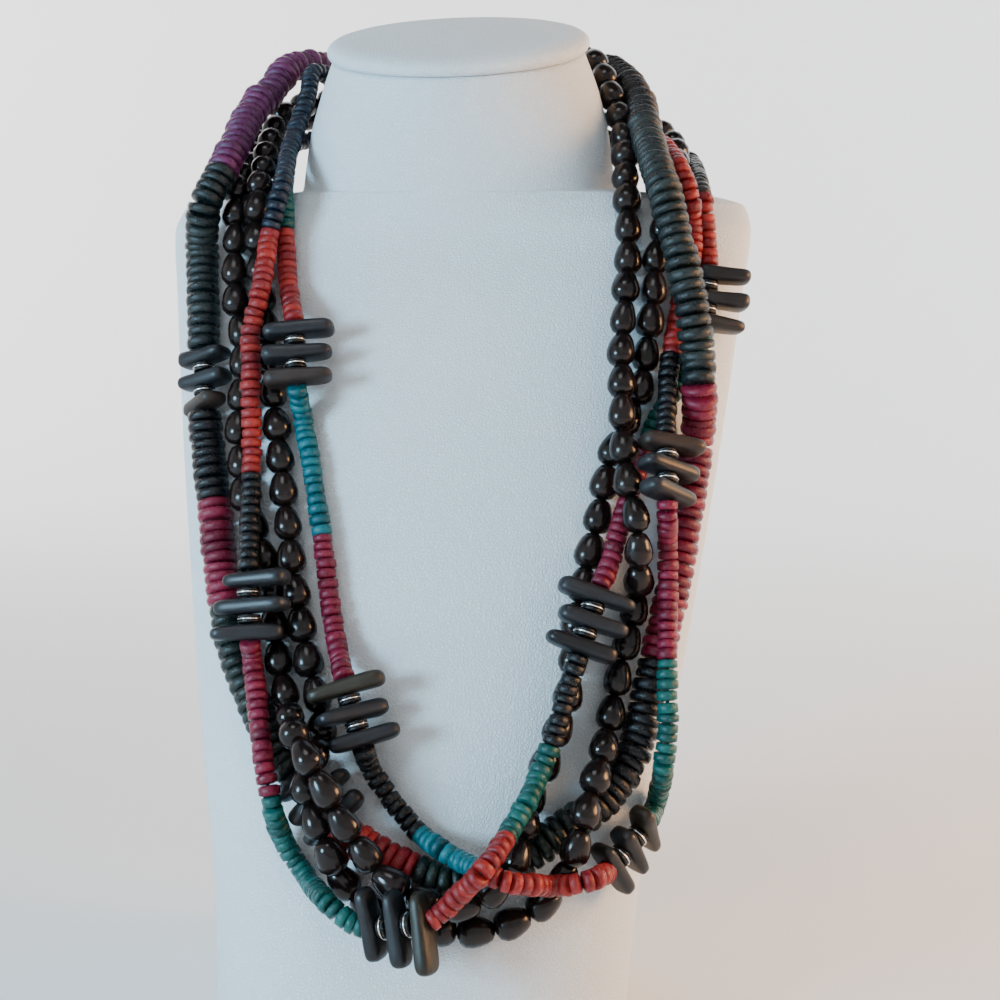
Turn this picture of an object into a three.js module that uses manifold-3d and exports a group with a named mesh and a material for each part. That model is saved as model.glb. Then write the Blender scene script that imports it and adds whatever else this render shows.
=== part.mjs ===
// Beaded necklace of five strings on a plain covered neck bust.
// Millimetres, +Z up, +X to the viewer's right, the chest faces -Y.
// The origin is the centre of the bust's flat base.

import * as THREE from 'three';
import { mergeVertices } from 'three/addons/utils/BufferGeometryUtils.js';
import Module from 'manifold-3d';

const wasm = await Module();
wasm.setup();

// Bust
const bustHeight = 364;
const shoulderWidth = 232;
const baseDepth = 160;
const bustFacets = 24;

// Padded lid on the neck
const lidThickness = 8;
const lidCrown = 2.5;
const lidOverhang = 1.5;
const lidFacets = 18;

// Beads
const largeDiscDiameter = 13;
const smallDiscDiameter = 7.5;
const dropDiameter = 9.8;
const dropPitch = 13.9;
const dropNeckDiameter = 3.4;
const dropSides = 10;
const threadDiameter = 2;

// Chips, each drilled through its broad face, and the washers between them
const chipLength = 27;
const chipWidth = 10;
const chipThickness = 5.6;
const chipCorner = 3;
const chipEdge = 1.2;
const washerDiameter = 8.2;
const washerThickness = 3.2;

// Clasp bar behind the neck
const claspWidth = 9;
const claspDepth = 27;
const claspHeight = 31;
const claspMiddleZ = 344;

// Clearances between pieces that touch
const seatGap = 0.3;
const threadClearance = 0.35;
// Room that a smooth route keeps over the chest or another string for the straight steps of its tube
const layingGap = 1.3;

// Steps of a string's tube: how far the route may bend away from a straight one, the shortest and
// the longest of them
const largestBend = 1.2;
const shortestStep = 9;
const longestStep = 42;

// How far from a point the strings beneath it are looked for
const stackReach = 45;

// Place that the routes are seen from: the middle of the view on the chest, how far the eye is,
// how far it is turned to the viewer's right and raised, and the view grid's unit at the chest
const viewMiddle = new THREE.Vector3(28, -4, 198);
const viewDistance = 600;
const viewTurn = THREE.MathUtils.degToRad(8);
const viewRise = THREE.MathUtils.degToRad(8);
const viewGridHalf = 500;
const viewGridUnit = 0.36;

// Bust sections, lowest first: height is a share of the bust's height, halfWidth a share of half
// the shoulder width, middle (where the section is widest), front and back shares of the base depth.
// squareness is the section's corner power and tilt its lean towards the front in degrees.
const bustSections = [
  { height: 0, halfWidth: 0.64, middle: 0, front: 0.5, back: 0.5, squareness: 2.8, tilt: 0 },
  { height: 0.138, halfWidth: 0.68, middle: 0.063, front: 0.45, back: 0.45, squareness: 2.8, tilt: 0 },
  { height: 0.302, halfWidth: 0.775, middle: 0.163, front: 0.406, back: 0.375, squareness: 2.7, tilt: 0 },
  { height: 0.465, halfWidth: 0.858, middle: 0.263, front: 0.363, back: 0.306, squareness: 2.6, tilt: 0 },
  { height: 0.618, halfWidth: 0.927, middle: 0.356, front: 0.325, back: 0.25, squareness: 2.5, tilt: 0 },
  { height: 0.742, halfWidth: 0.975, middle: 0.431, front: 0.288, back: 0.213, squareness: 2.4, tilt: 0 },
  { height: 0.811, halfWidth: 1, middle: 0.469, front: 0.25, back: 0.194, squareness: 2.3, tilt: 0 },
  { height: 0.836, halfWidth: 0.978, middle: 0.481, front: 0.26, back: 0.181, squareness: 1.7, tilt: 0 },
  { height: 0.8475, halfWidth: 0.87, middle: 0.488, front: 0.265, back: 0.169, squareness: 1.65, tilt: 0 },
  { height: 0.8555, halfWidth: 0.54, middle: 0.488, front: 0.265, back: 0.2, squareness: 2.9, tilt: 2 },
  { height: 0.88, halfWidth: 0.528, middle: 0.49, front: 0.266, back: 0.215, squareness: 2.6, tilt: 5 },
  { height: 0.92, halfWidth: 0.51, middle: 0.492, front: 0.267, back: 0.225, squareness: 2.3, tilt: 9 },
  { height: 0.963, halfWidth: 0.475, middle: 0.487, front: 0.262, back: 0.236, squareness: 2, tilt: 14 },
  { height: 1, halfWidth: 0.43, middle: 0.475, front: 0.254, back: 0.256, squareness: 2, tilt: 18 },
];

const colours = {
  cover: 0xdfe5e8,
  A: 0x8a2f4a,
  B: 0xb5453c,
  C: 0x17706c,
  drop: 0x1d1818,
  chip: 0x2b2b2c,
  clasp: 0x2a2522,
};

// Points of a string's route. on: lying on the chest at a place of the view grid, over the strings
// whose letters are given where they are in its way, and lifted further by what is given in mm.
// beside: in the air at a place of the view grid, at a depth y. behind: out of sight.
const on = (across, down, beneath = '', lift = 0) => ({ across, down, beneath, lift });
const beside = (across, down, y) => ({ across, down, y });
const behind = (x, y, z) => ({ x, y, z });

// Where the strings' ends meet the clasp: two columns of ends behind the neck, each end a short
// straight run square to the clasp's side face. side is -1 at its left face and 1 at its right one.
const claspFaceX = claspWidth / 2 + seatGap;
const endRun = 7;
const innerY = 123;
const outerY = 136;
const atClasp = (side, y, z) => [
  behind(side * claspFaceX, y, z),
  behind(side * (claspFaceX + endRun), y, z),
];

const strings = {
  A: { node: 'large_disc_string', diameter: largeDiscDiameter, sides: 10, route: [
    ...atClasp(-1, outerY, 353), behind(-30, 136, 358), behind(-56, 127, 364),
    beside(294, 67, 103), beside(271, 91, 86), beside(251, 112, 72), beside(237, 142, 55),
    beside(219, 176, 40), beside(204, 208, 33), on(202, 250), on(203, 300), on(204, 345, '', 0.5),
    on(204, 380, '', 1), on(205, 415, '', 1), on(208, 450), on(214, 503), on(220, 560), on(228, 622),
    on(240, 668), on(258, 712), on(280, 755), on(303, 784), on(322, 808), on(345, 832), on(376, 852),
    on(411, 870), on(445, 881), on(480, 879), on(515, 864), on(553, 836), on(599, 804),
    on(632, 757), on(646, 705), on(657, 655), on(671, 599), on(681, 545), on(690, 490),
    on(697, 444, 'B'), on(699, 412, 'B', 2), on(699, 385, 'B', 3), on(698, 360, 'B', 2),
    on(694, 322, 'BCI', 4), on(688, 290, 'BCI', 4), on(681, 258, 'BCI', 3), on(674, 228, 'BCI', 1),
    beside(667, 200, 27), beside(658, 172, 32), beside(649, 133, 52), beside(647, 98, 82),
    beside(631, 74, 103), behind(52, 126, 363), behind(28, 135, 357),
    ...atClasp(1, outerY, 353).reverse(),
  ] },
  B: { node: 'small_disc_string_front', diameter: smallDiscDiameter, sides: 8, route: [
    ...atClasp(-1, innerY, 342), behind(-26, 121, 343), behind(-48, 109, 351),
    beside(316, 72, 94), beside(308, 96, 82), beside(299, 122, 72), beside(290, 150, 53),
    beside(283, 180, 35), beside(276, 207, 28), on(269, 236, 'CIO'), on(265, 265, 'CIO'),
    on(259, 298, 'AIO', 1), on(251, 332, 'AIO'), on(251, 362, 'AIO'), on(251, 393, 'AIO'),
    on(252, 442, 'AIO'), on(251, 485, 'AIO'), on(250, 520, 'AIO'), on(249, 550, 'AIO', 2),
    on(248, 578, 'AIO', 4), on(248, 606, 'AIO', 4), on(249, 632, 'AIO', 4), on(252, 660, 'AIO'),
    on(256, 690, 'AIO'), on(260, 735, 'AIO'), on(266, 775, 'AIO', 3), on(272, 806, 'A', 4),
    on(284, 840, '', 3), on(305, 875), on(325, 900, 'IO', 3), on(347, 920, 'IO', 6), on(370, 930, 'IO', 6),
    on(393, 932, 'AIO', 6), on(416, 929, 'AIO', 5), on(440, 914, 'ACIO', 2), on(462, 892, 'ACIO', 1.5),
    on(482, 872, 'ACIO', 1), on(497, 852, 'ACIO', 0.5), on(511, 829, 'ACIO', 0.5),
    on(525, 806, 'ACIO', 0.5), on(540, 772, 'ACIO'), on(555, 733, 'ACIO'), on(566, 692, 'IO'),
    on(577, 660, 'IO', 2), on(588, 622, 'IO', 2), on(598, 590, 'IO', 2), on(610, 562, 'I'), on(618, 532, 'I'),
    on(626, 505, 'I'), on(638, 472), on(648, 440), on(664, 405), on(685, 375), on(701, 345),
    on(706, 322, '', 1), on(708, 298, '', 1), on(709, 272, '', 1), on(708, 245),
    on(706, 222), beside(704, 204, 48), beside(700, 187, 58), beside(696, 173, 82),
    beside(686, 160, 108), behind(64, 128, 332), behind(36, 125, 341),
    ...atClasp(1, innerY, 342).reverse(),
  ] },
  C: { node: 'small_disc_string_back', diameter: smallDiscDiameter, sides: 8, route: [
    ...atClasp(-1, innerY, 333), behind(-28, 122, 332), behind(-52, 113, 334),
    beside(303, 141, 108), beside(290, 148, 93), beside(285, 165, 75), beside(285, 178, 57),
    beside(284, 194, 41), on(285, 220), on(286, 250), on(288, 285, 'O', 1), on(294, 322, 'O', 6),
    on(295, 352, 'O', 6), on(297, 385, 'O', 6), on(303, 418, 'O'), on(309, 452, 'O'),
    on(318, 509, 'O'), on(325, 560, 'O'),
    on(331, 610, 'O'), on(338, 650, 'O', 2), on(344, 680, 'O', 6), on(352, 712, 'O', 6),
    on(361, 742, 'O', 6), on(370, 766, 'I', 2), on(384, 789, 'I'), on(402, 814, 'AI'),
    on(422, 835, 'AI', 1), on(440, 849, 'AIO', 1), on(456, 859, 'AIO'), on(473, 867, 'AIO', 1),
    on(490, 876, 'AIO', 3), on(507, 881, 'AIO', 3.5), on(531, 885, 'AIO', 1.5), on(553, 886, 'AIO'),
    on(576, 884, 'AO', 1.5), on(595, 878, 'AO', 2), on(611, 867, 'A', 2), on(628, 848, 'A', 2),
    on(645, 827, '', 2), on(655, 806, '', 2.5), on(663, 770, 'A', 1), on(668, 730, 'A', 1.5),
    on(667, 690, 'A', 1.5), on(667, 640, 'A'), on(668, 590, 'A'), on(668, 545, 'A', 3),
    on(667, 510, 'AB', 9),
    on(666, 468, 'AB', 9), on(666, 432, 'AB', 7), on(667, 402, 'B', 2.5), on(669, 372, 'B', 1),
    on(675, 330), on(682, 300), on(689, 272, 'B'), on(692, 248, 'B'), on(692, 222, 'B'),
    beside(690, 198, 37), beside(686, 183, 38), beside(680, 169, 42), beside(672, 155, 56),
    beside(656, 142, 84), behind(58, 115, 332), behind(32, 121, 331), ...atClasp(1, innerY, 333).reverse(),
  ] },
  I: { node: 'drop_string_inner', diameter: dropDiameter, route: [
    ...atClasp(-1, outerY, 340), behind(-34, 137, 342), behind(-72, 127, 345),
    beside(266, 128, 110), beside(256, 146, 92), beside(248, 166, 73), beside(240, 184, 54),
    beside(235, 207, 44), on(235, 235), on(235, 280), on(240, 325), on(243, 355), on(242, 390),
    on(239, 435), on(243, 485), on(254, 525), on(264, 560), on(272, 608), on(278, 655), on(286, 700, 'A'),
    on(296, 738, 'AO'), on(308, 762, 'AO'), on(324, 788, 'AO'), on(343, 823, 'AO'),
    on(366, 856, 'AO'), on(389, 881, 'AO'), on(418, 899, 'AO'), on(450, 907, 'AO'),
    on(478, 901, 'AO'), on(500, 884, 'A'), on(517, 858, 'A'), on(524, 826, 'A'), on(533, 797, 'A'),
    on(546, 761), on(562, 720), on(571, 680), on(575, 640), on(579, 600), on(588, 565),
    on(596, 530), on(603, 490), on(612, 450), on(628, 418), on(641, 385), on(648, 345),
    on(652, 305), on(655, 268), on(661, 238), beside(667, 212, 43), beside(672, 190, 49),
    beside(675, 172, 68), beside(676, 155, 88), beside(668, 138, 108), behind(60, 133, 343),
    behind(30, 137, 341), ...atClasp(1, outerY, 340).reverse(),
  ] },
  O: { node: 'drop_string_outer', diameter: dropDiameter, route: [
    ...atClasp(-1, innerY, 352), behind(-34, 123, 352), behind(-66, 116, 350),
    beside(284, 115, 100), beside(272, 140, 80), beside(265, 162, 61), beside(261, 182, 47),
    beside(258, 204, 37), on(257, 232), on(259, 262), on(262, 300), on(268, 340), on(272, 385),
    on(277, 430), on(284, 486), on(290, 545), on(297, 600), on(306, 650), on(316, 694),
    on(321, 728, '', 1), on(314, 760, 'A', 2.5), on(306, 785, 'A', 1.5), on(312, 812, 'A'),
    on(328, 850, 'A'), on(347, 886), on(375, 912), on(410, 926), on(457, 930), on(493, 929), on(528, 915),
    on(554, 893), on(572, 858, 'A'), on(583, 826, 'A'), on(592, 790, 'A'), on(603, 753, 'A', 0.7),
    on(611, 716, 'A'), on(618, 677, 'A'), on(629, 637, 'A'), on(636, 599, 'AB'),
    on(639, 561, 'AB'), on(637, 521, 'AB'), on(629, 484, 'BI'), on(624, 446, 'BI'),
    on(621, 411, 'BI'), on(621, 376, 'I'), on(622, 340, 'I'), on(625, 300, 'I'), on(627, 260),
    on(628, 232), beside(627, 205, 40), beside(626, 176, 51), beside(624, 143, 66),
    beside(618, 113, 80), beside(607, 85, 93), beside(596, 64, 105), beside(584, 56, 115),
    behind(26, 123, 359), ...atClasp(1, innerY, 352).reverse(),
  ] },
};

// Chip groups, three chips each: middle is the group's place on its string. For each chip, roll
// turns its long side about the string, right end towards the chest, in degrees, slide moves it
// along that side in mm, and length is a share of the chip length.
const chipGroups = [
  { string: 'A', middle: [204, 380], chips: [
    { roll: 4, slide: 0, length: 0.8 }, { roll: 8, slide: 0, length: 0.82 },
    { roll: -20, slide: -0.5, length: 0.84 }] },
  { string: 'A', middle: [316, 799], chips: [
    { roll: -4, slide: 0, length: 0.75 }, { roll: 0, slide: 1.5, length: 0.98 },
    { roll: 4, slide: 0.5, length: 0.95 }] },
  { string: 'B', middle: [248, 606], chips: [
    { roll: 6, slide: 3, length: 0.93 }, { roll: 2, slide: 1, length: 1.06 },
    { roll: 28, slide: -1, length: 0.96 }] },
  { string: 'B', middle: [393, 934], chips: [
    { roll: -15, slide: 1.5, length: 0.92 }, { roll: -7, slide: -1, length: 0.94 },
    { roll: -6, slide: -3.2, length: 1 }] },
  { string: 'B', middle: [588, 621], chips: [
    { roll: 2, slide: 0, length: 0.95 }, { roll: 0, slide: 1.5, length: 0.93 },
    { roll: -2, slide: 0, length: 1.04 }] },
  { string: 'B', middle: [705, 298], chips: [
    { roll: -16, slide: 4.5, length: 0.8 }, { roll: -18, slide: 5.4, length: 0.8 },
    { roll: -24, slide: 5.8, length: 0.75 }] },
  { string: 'C', middle: [295, 353], chips: [
    { roll: 14, slide: 1.5, length: 0.98 }, { roll: 15, slide: 0.5, length: 0.96 },
    { roll: 15, slide: 0.5, length: 0.93 }] },
  { string: 'C', middle: [352, 713], chips: [
    { roll: 10, slide: 0, length: 1.04 }, { roll: 34, slide: -0.5, length: 0.98 },
    { roll: 14, slide: 1.5, length: 0.94 }] },
  { string: 'C', middle: [628, 848], chips: [
    { roll: 0, slide: -1.5, length: 0.84 }, { roll: -3, slide: -2.5, length: 0.78 },
    { roll: 0, slide: -1.5, length: 0.84 }] },
  { string: 'C', middle: [666, 468], chips: [
    { roll: 14, slide: 1, length: 0.88 }, { roll: 8, slide: 1.2, length: 0.92 },
    { roll: -6, slide: 2.5, length: 0.9 }] },
];

// Sizes of the bust's section at a height, worked out between the two rows round it
function bustSectionAt(z) {
  const share = THREE.MathUtils.clamp(z / bustHeight, 0, 1);
  const upper = Math.max(1, bustSections.findIndex((row) => row.height >= share));
  const low = bustSections[upper - 1];
  const high = bustSections[upper];
  const part = (share - low.height) / (high.height - low.height);
  const between = (name) => THREE.MathUtils.lerp(low[name], high[name], part);
  return {
    z,
    halfWidth: between('halfWidth') * shoulderWidth / 2,
    middle: between('middle') * baseDepth,
    front: between('front') * baseDepth,
    back: between('back') * baseDepth,
    power: 2 / between('squareness'),
    lean: Math.tan(THREE.MathUtils.degToRad(between('tilt'))),
  };
}

// Points of a section, anticlockwise from above
function sectionRing(section, count) {
  const ring = [];
  for (let step = 0; step < count; step += 1) {
    const angle = 2 * Math.PI * (step + 0.5) / count;
    const cos = Math.cos(angle);
    const sin = Math.sin(angle);
    const depth = sin < 0 ? section.front : section.back;
    const x = section.halfWidth * Math.sign(cos) * Math.abs(cos) ** section.power;
    const reach = depth * Math.sign(sin) * Math.abs(sin) ** section.power;
    ring.push(new THREE.Vector3(x, section.middle + reach, section.z + reach * section.lean));
  }
  return ring;
}

// Depth y of the chest's front surface at a place of the front view
function chestDepth(x, z) {
  const section = bustSectionAt(z);
  const edge = 0.985;
  const share = Math.min(Math.abs(x) / section.halfWidth, edge);
  return section.middle - section.front * (1 - share ** (2 / section.power)) ** (section.power / 2);
}

// Outward normal of the chest's front surface
function chestNormal(x, z) {
  const step = 1.5;
  const slopeX = (chestDepth(x + step, z) - chestDepth(x - step, z)) / (2 * step);
  const slopeZ = (chestDepth(x, z + step) - chestDepth(x, z - step)) / (2 * step);
  return new THREE.Vector3(slopeX, -1, slopeZ).normalize();
}

// Closed solid through rings of equally many points, with a flat or pointed face at each end
function solidFromRings(rings) {
  const count = rings[0].length;
  const positions = [];
  const indices = [];
  for (const ring of rings) {
    for (const point of ring) positions.push(point.x, point.y, point.z);
  }
  for (let row = 0; row + 1 < rings.length; row += 1) {
    for (let side = 0; side < count; side += 1) {
      const a = row * count + side;
      const b = row * count + (side + 1) % count;
      indices.push(a, b, b + count, a, b + count, a + count);
    }
  }
  const last = (rings.length - 1) * count;
  for (let side = 1; side + 1 < count; side += 1) {
    indices.push(0, side + 1, side);
    indices.push(last, last + side, last + side + 1);
  }
  const geometry = new THREE.BufferGeometry();
  geometry.setAttribute('position', new THREE.Float32BufferAttribute(positions, 3));
  geometry.setIndex(indices);
  return geometry;
}

// Ray of view through a place of the view grid
const viewForward = new THREE.Vector3(
  -Math.sin(viewTurn) * Math.cos(viewRise),
  Math.cos(viewTurn) * Math.cos(viewRise),
  -Math.sin(viewRise),
);
const viewRight = viewForward.clone().cross(new THREE.Vector3(0, 0, 1)).normalize();
const viewUp = viewRight.clone().cross(viewForward);
const eye = viewMiddle.clone().addScaledVector(viewForward, -viewDistance);

function viewRay(across, down) {
  return viewMiddle.clone()
    .addScaledVector(viewRight, (across - viewGridHalf) * viewGridUnit)
    .addScaledVector(viewUp, (viewGridHalf - down) * viewGridUnit)
    .sub(eye);
}

// Clear height of a place over the chest, square to it
function heightOverChest(place) {
  const normal = chestNormal(place.x, place.z);
  return (place.y - chestDepth(place.x, place.z)) * normal.y;
}

// Shares of a ray of view: where the search for a lying place starts, and its first and last steps
const layingStart = 0.84;
const layingStep = 0.004;
const layingStepEnd = 0.00001;

// Place in space of a route's point, clear of the chest and of what lies beneath it there.
// beneath is a list of points on the axes of other strings, each with the distance to keep from it.
function placeOf(point, radius, beneath) {
  if (point.x !== undefined) return new THREE.Vector3(point.x, point.y, point.z);
  const ray = viewRay(point.across, point.down);
  const at = (share) => eye.clone().addScaledVector(ray, share);
  if (point.y !== undefined) return at((point.y - eye.y) / ray.y);
  const isClear = (place) => heightOverChest(place) >= radius + layingGap + point.lift
    && beneath.every(({ axis, keep }) => axis.distanceToSquared(place) >= (keep + point.lift) ** 2);
  let share = layingStart;
  for (let step = layingStep; step > layingStepEnd; step /= 4) {
    while (isClear(at(share + step))) share += step;
  }
  return at(share);
}

// Routes of all strings. They start on the chest, and each pass lifts every point over the
// strings beneath it as they lay in the pass before, until a stack of them has settled.
const layingPasses = 6;
const axisStep = 2.5;

function layStrings() {
  let curves = {};
  for (let pass = 0; pass < layingPasses; pass += 1) {
    const axes = {};
    for (const [letter, curve] of Object.entries(curves)) {
      axes[letter] = curve.getSpacedPoints(Math.round(curve.getLength() / axisStep));
    }
    const laid = {};
    for (const [letter, { diameter, route }] of Object.entries(strings)) {
      const places = route.map((point) => {
        const near = viewMiddle.clone();
        if (point.x === undefined) near.copy(placeOf({ ...point, lift: 0 }, diameter / 2, []));
        const beneath = [...(point.beneath ?? '')].flatMap((other) => (axes[other] ?? [])
          .filter((axis) => axis.distanceTo(near) < stackReach)
          .map((axis) => ({ axis, keep: (diameter + strings[other].diameter) / 2 + layingGap })));
        return placeOf(point, diameter / 2, beneath);
      });
      laid[letter] = new THREE.CatmullRomCurve3(places, false, 'centripetal');
      laid[letter].arcLengthDivisions = 1500;
    }
    curves = laid;
  }
  return curves;
}

const curves = layStrings();

// Bust
function makeBustBody() {
  const rings = bustSections.map((row) => sectionRing(bustSectionAt(row.height * bustHeight), bustFacets));
  return solidFromRings(rings);
}

// Lid: a padded oval plate parallel to the neck's sloping rim, crowned on top
const lidProfile = [
  { rise: 0, inset: 0.6 },
  { rise: 0.5, inset: -1 },
  { rise: 0.82, inset: 1.2 },
  { rise: 1, inset: 8 },
];

function makeBustLid() {
  const rim = bustSectionAt(bustHeight);
  const rings = lidProfile.map((row) => {
    const grow = lidOverhang - row.inset;
    const section = {
      ...rim,
      z: bustHeight + seatGap / Math.cos(Math.atan(rim.lean)) + row.rise * lidThickness,
      halfWidth: rim.halfWidth + grow,
      front: rim.front + grow,
      back: rim.back + grow,
    };
    return sectionRing(section, lidFacets);
  });
  const crown = rings[rings.length - 1].map((point) => point.clone()
    .lerp(new THREE.Vector3(0, rim.middle, point.z - (point.y - rim.middle) * rim.lean), 0.55)
    .add(new THREE.Vector3(0, 0, lidCrown)));
  rings.push(crown);
  return solidFromRings(rings);
}

// Distance along a route of its point that is seen nearest to a place of the view grid
function distanceAt(curve, across, down) {
  const steps = 2000;
  const direction = viewRay(across, down).normalize();
  const line = new THREE.Ray(eye, direction);
  let best = { step: 0, gap: Infinity };
  for (let step = 0; step <= steps; step += 1) {
    const gap = line.distanceToPoint(curve.getPointAt(step / steps));
    if (gap < best.gap) best = { step, gap };
  }
  return curve.getLength() * best.step / steps;
}

// Point of a route and its direction there. Straights are its stretches that are pulled straight.
function placeAlong(curve, straights, distance) {
  const share = THREE.MathUtils.clamp(distance / curve.getLength(), 0, 1);
  const straight = straights.find(({ from, to }) => distance >= from && distance <= to);
  if (!straight) return { middle: curve.getPointAt(share), along: curve.getTangentAt(share) };
  const { from, to, centre, along } = straight;
  return { middle: centre.clone().addScaledVector(along, distance - (from + to) / 2), along };
}

// Body swept along a route: stations are rows of a distance along it and a radius there
function sweep(curve, straights, stations, sides) {
  let across = new THREE.Vector3(0, 0, 1);
  const rings = stations.map(({ distance, radius }) => {
    const { middle, along } = placeAlong(curve, straights, distance);
    across = across.clone().addScaledVector(along, -across.dot(along)).normalize();
    const upright = along.clone().cross(across);
    const ring = [];
    for (let side = 0; side < sides; side += 1) {
      const angle = 2 * Math.PI * side / sides;
      ring.push(middle.clone()
        .addScaledVector(across, radius * Math.cos(angle))
        .addScaledVector(upright, radius * Math.sin(angle)));
    }
    return ring;
  });
  return solidFromRings(rings);
}

// Distances of a group's chips along its string, with a washer between two of them
const chipPitch = chipThickness + washerThickness + 2 * seatGap;
const chipReach = chipThickness / 2 + seatGap;

function groupPlaces(letter, group) {
  const middle = distanceAt(curves[letter], ...group.middle);
  return group.chips.map((chip, index) => middle + (index - (group.chips.length - 1) / 2) * chipPitch);
}

// Straight stretch of a string through a group of chips, as long as the stretch it stands for
function straightThrough(letter, places) {
  const from = places[0] - chipReach;
  const to = places[places.length - 1] + chipReach;
  const [start, end] = [from, to].map((distance) => placeAlong(curves[letter], [], distance).middle);
  const centre = start.clone().lerp(end, 0.5);
  return { from, to, centre, along: end.sub(start).normalize() };
}

// Distances at which the straight steps of a tube end: steps are halved where the route bends
function stepEnds(curve, from, to) {
  const length = curve.getLength();
  const at = (distance) => curve.getPointAt(THREE.MathUtils.clamp(distance / length, 0, 1));
  const straight = new THREE.Line3(at(from), at(to));
  const nearest = new THREE.Vector3();
  const bends = [0.25, 0.5, 0.75].some((part) => {
    const place = at(THREE.MathUtils.lerp(from, to, part));
    straight.closestPointToPoint(place, true, nearest);
    return nearest.distanceTo(place) > largestBend;
  });
  const isShort = to - from < 2 * shortestStep;
  if (to - from <= longestStep && (isShort || !bends)) return [to];
  const middle = (from + to) / 2;
  return [...stepEnds(curve, from, middle), ...stepEnds(curve, middle, to)];
}

// String of discs: a full tube that thins to its thread inside each chip, with a washer between chips
function makeDiscString(letter, groups, straights) {
  const { diameter, sides } = strings[letter];
  const radius = diameter / 2;
  const stations = [];
  const tube = (from, to, tubeRadius) => {
    for (const distance of [from, ...stepEnds(curves[letter], from, to)]) {
      stations.push({ distance, radius: tubeRadius });
    }
  };
  let from = 0;
  for (const places of groups) {
    places.forEach((place, index) => {
      tube(from, place - chipReach, index === 0 ? radius : washerDiameter / 2);
      tube(place - chipReach, place + chipReach, threadDiameter / 2);
      from = place + chipReach;
    });
  }
  tube(from, curves[letter].getLength(), radius);
  return sweep(curves[letter], straights, stations, sides);
}

// String of drops: round beads, wider towards one end, that narrow where they meet
const dropSections = [
  { along: 0, swell: 0 },
  { along: 0.34, swell: 0.78 },
  { along: 0.7, swell: 1 },
];

function makeDropString(letter) {
  const curve = curves[letter];
  const length = curve.getLength();
  const count = Math.round(length / dropPitch);
  const pitch = length / count;
  const neck = dropNeckDiameter / 2;
  const stations = [];
  for (let bead = 0; bead < count; bead += 1) {
    for (const { along, swell } of dropSections) {
      stations.push({
        distance: (bead + along) * pitch,
        radius: THREE.MathUtils.lerp(neck, dropDiameter / 2, swell),
      });
    }
  }
  stations.push({ distance: length, radius: neck });
  return sweep(curve, [], stations, dropSides);
}

// Chip: a slab with cut corners and eased edges, its long side along X and its drilling along Z
function makeChipSlab(length) {
  const layers = [
    { side: -1, inset: chipEdge },
    { side: -1, inset: 0 },
    { side: 1, inset: 0 },
    { side: 1, inset: chipEdge },
  ];
  const rings = layers.map(({ side, inset }) => {
    const x = length / 2 - inset;
    const y = chipWidth / 2 - inset;
    const z = side * (chipThickness / 2 - chipEdge + inset);
    const cut = chipCorner - inset / 2;
    const outline = [
      [x, cut - y], [x, y - cut], [x - cut, y], [cut - x, y],
      [-x, y - cut], [-x, cut - y], [cut - x, -y], [x - cut, -y],
    ];
    return outline.map(([px, py]) => new THREE.Vector3(px, py, z));
  });
  return solidFromRings(rings);
}

function toManifold(geometry) {
  const merged = mergeVertices(geometry);
  return new wasm.Manifold(new wasm.Mesh({
    numProp: 3,
    vertProperties: new Float32Array(merged.attributes.position.array),
    triVerts: new Uint32Array(merged.index.array),
  }));
}

function fromManifold(solid) {
  const mesh = solid.getMesh();
  const geometry = new THREE.BufferGeometry();
  geometry.setAttribute('position', new THREE.BufferAttribute(mesh.vertProperties, 3));
  geometry.setIndex(new THREE.BufferAttribute(mesh.triVerts, 1));
  return geometry;
}

// Straight round rod along Z, centred on the origin
function makeRod(radius, length, sides) {
  const rings = [-length / 2, length / 2].map((z) => {
    const ring = [];
    for (let side = 0; side < sides; side += 1) {
      const angle = 2 * Math.PI * side / sides;
      ring.push(new THREE.Vector3(radius * Math.cos(angle), radius * Math.sin(angle), z));
    }
    return ring;
  });
  return solidFromRings(rings);
}

// Chip drilled for the thread, slid along its long side from the string it hangs on
function makeChip(chip) {
  const slab = makeChipSlab(chipLength * chip.length);
  slab.translate(chip.slide, 0, 0);
  const drill = makeRod(threadDiameter / 2 + threadClearance, chipThickness * 2, 6);
  return fromManifold(toManifold(slab).subtract(toManifold(drill)));
}

// Chip's frame on its string: drilling along the string, long side to the viewer's right or up
function placeChip(mesh, { middle, along }, chip) {
  const outward = chestNormal(middle.x, middle.z);
  outward.addScaledVector(along, -outward.dot(along)).normalize();
  const long = outward.clone().cross(along);
  if (long.dot(viewRight) * 4 + long.dot(viewUp) * 3 < 0) long.negate();
  const roll = THREE.MathUtils.degToRad(chip.roll);
  const turned = long.clone().multiplyScalar(Math.cos(roll)).addScaledVector(outward, -Math.sin(roll));
  const frame = new THREE.Matrix4().makeBasis(turned, along.clone().cross(turned), along);
  mesh.quaternion.setFromRotationMatrix(frame);
  mesh.position.copy(middle);
}

// Clasp: a plain upright bar that the ends of all five strings meet
function makeClasp() {
  const bar = new THREE.BoxGeometry(claspWidth, claspDepth, claspHeight);
  bar.translate(0, (innerY + outerY) / 2, claspMiddleZ);
  return bar;
}

function material(colour, roughness, metalness = 0) {
  return new THREE.MeshStandardMaterial({ color: colour, roughness, metalness });
}

const necklace = new THREE.Group();

function addPiece(name, geometry, finish) {
  const mesh = new THREE.Mesh(geometry, finish);
  mesh.name = name;
  necklace.add(mesh);
  return mesh;
}

const cover = material(colours.cover, 0.75);
addPiece('neck_bust', makeBustBody(), cover);
addPiece('bust_lid', makeBustLid(), cover);
addPiece('clasp_bar', makeClasp(), material(colours.clasp, 0.5));

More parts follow.
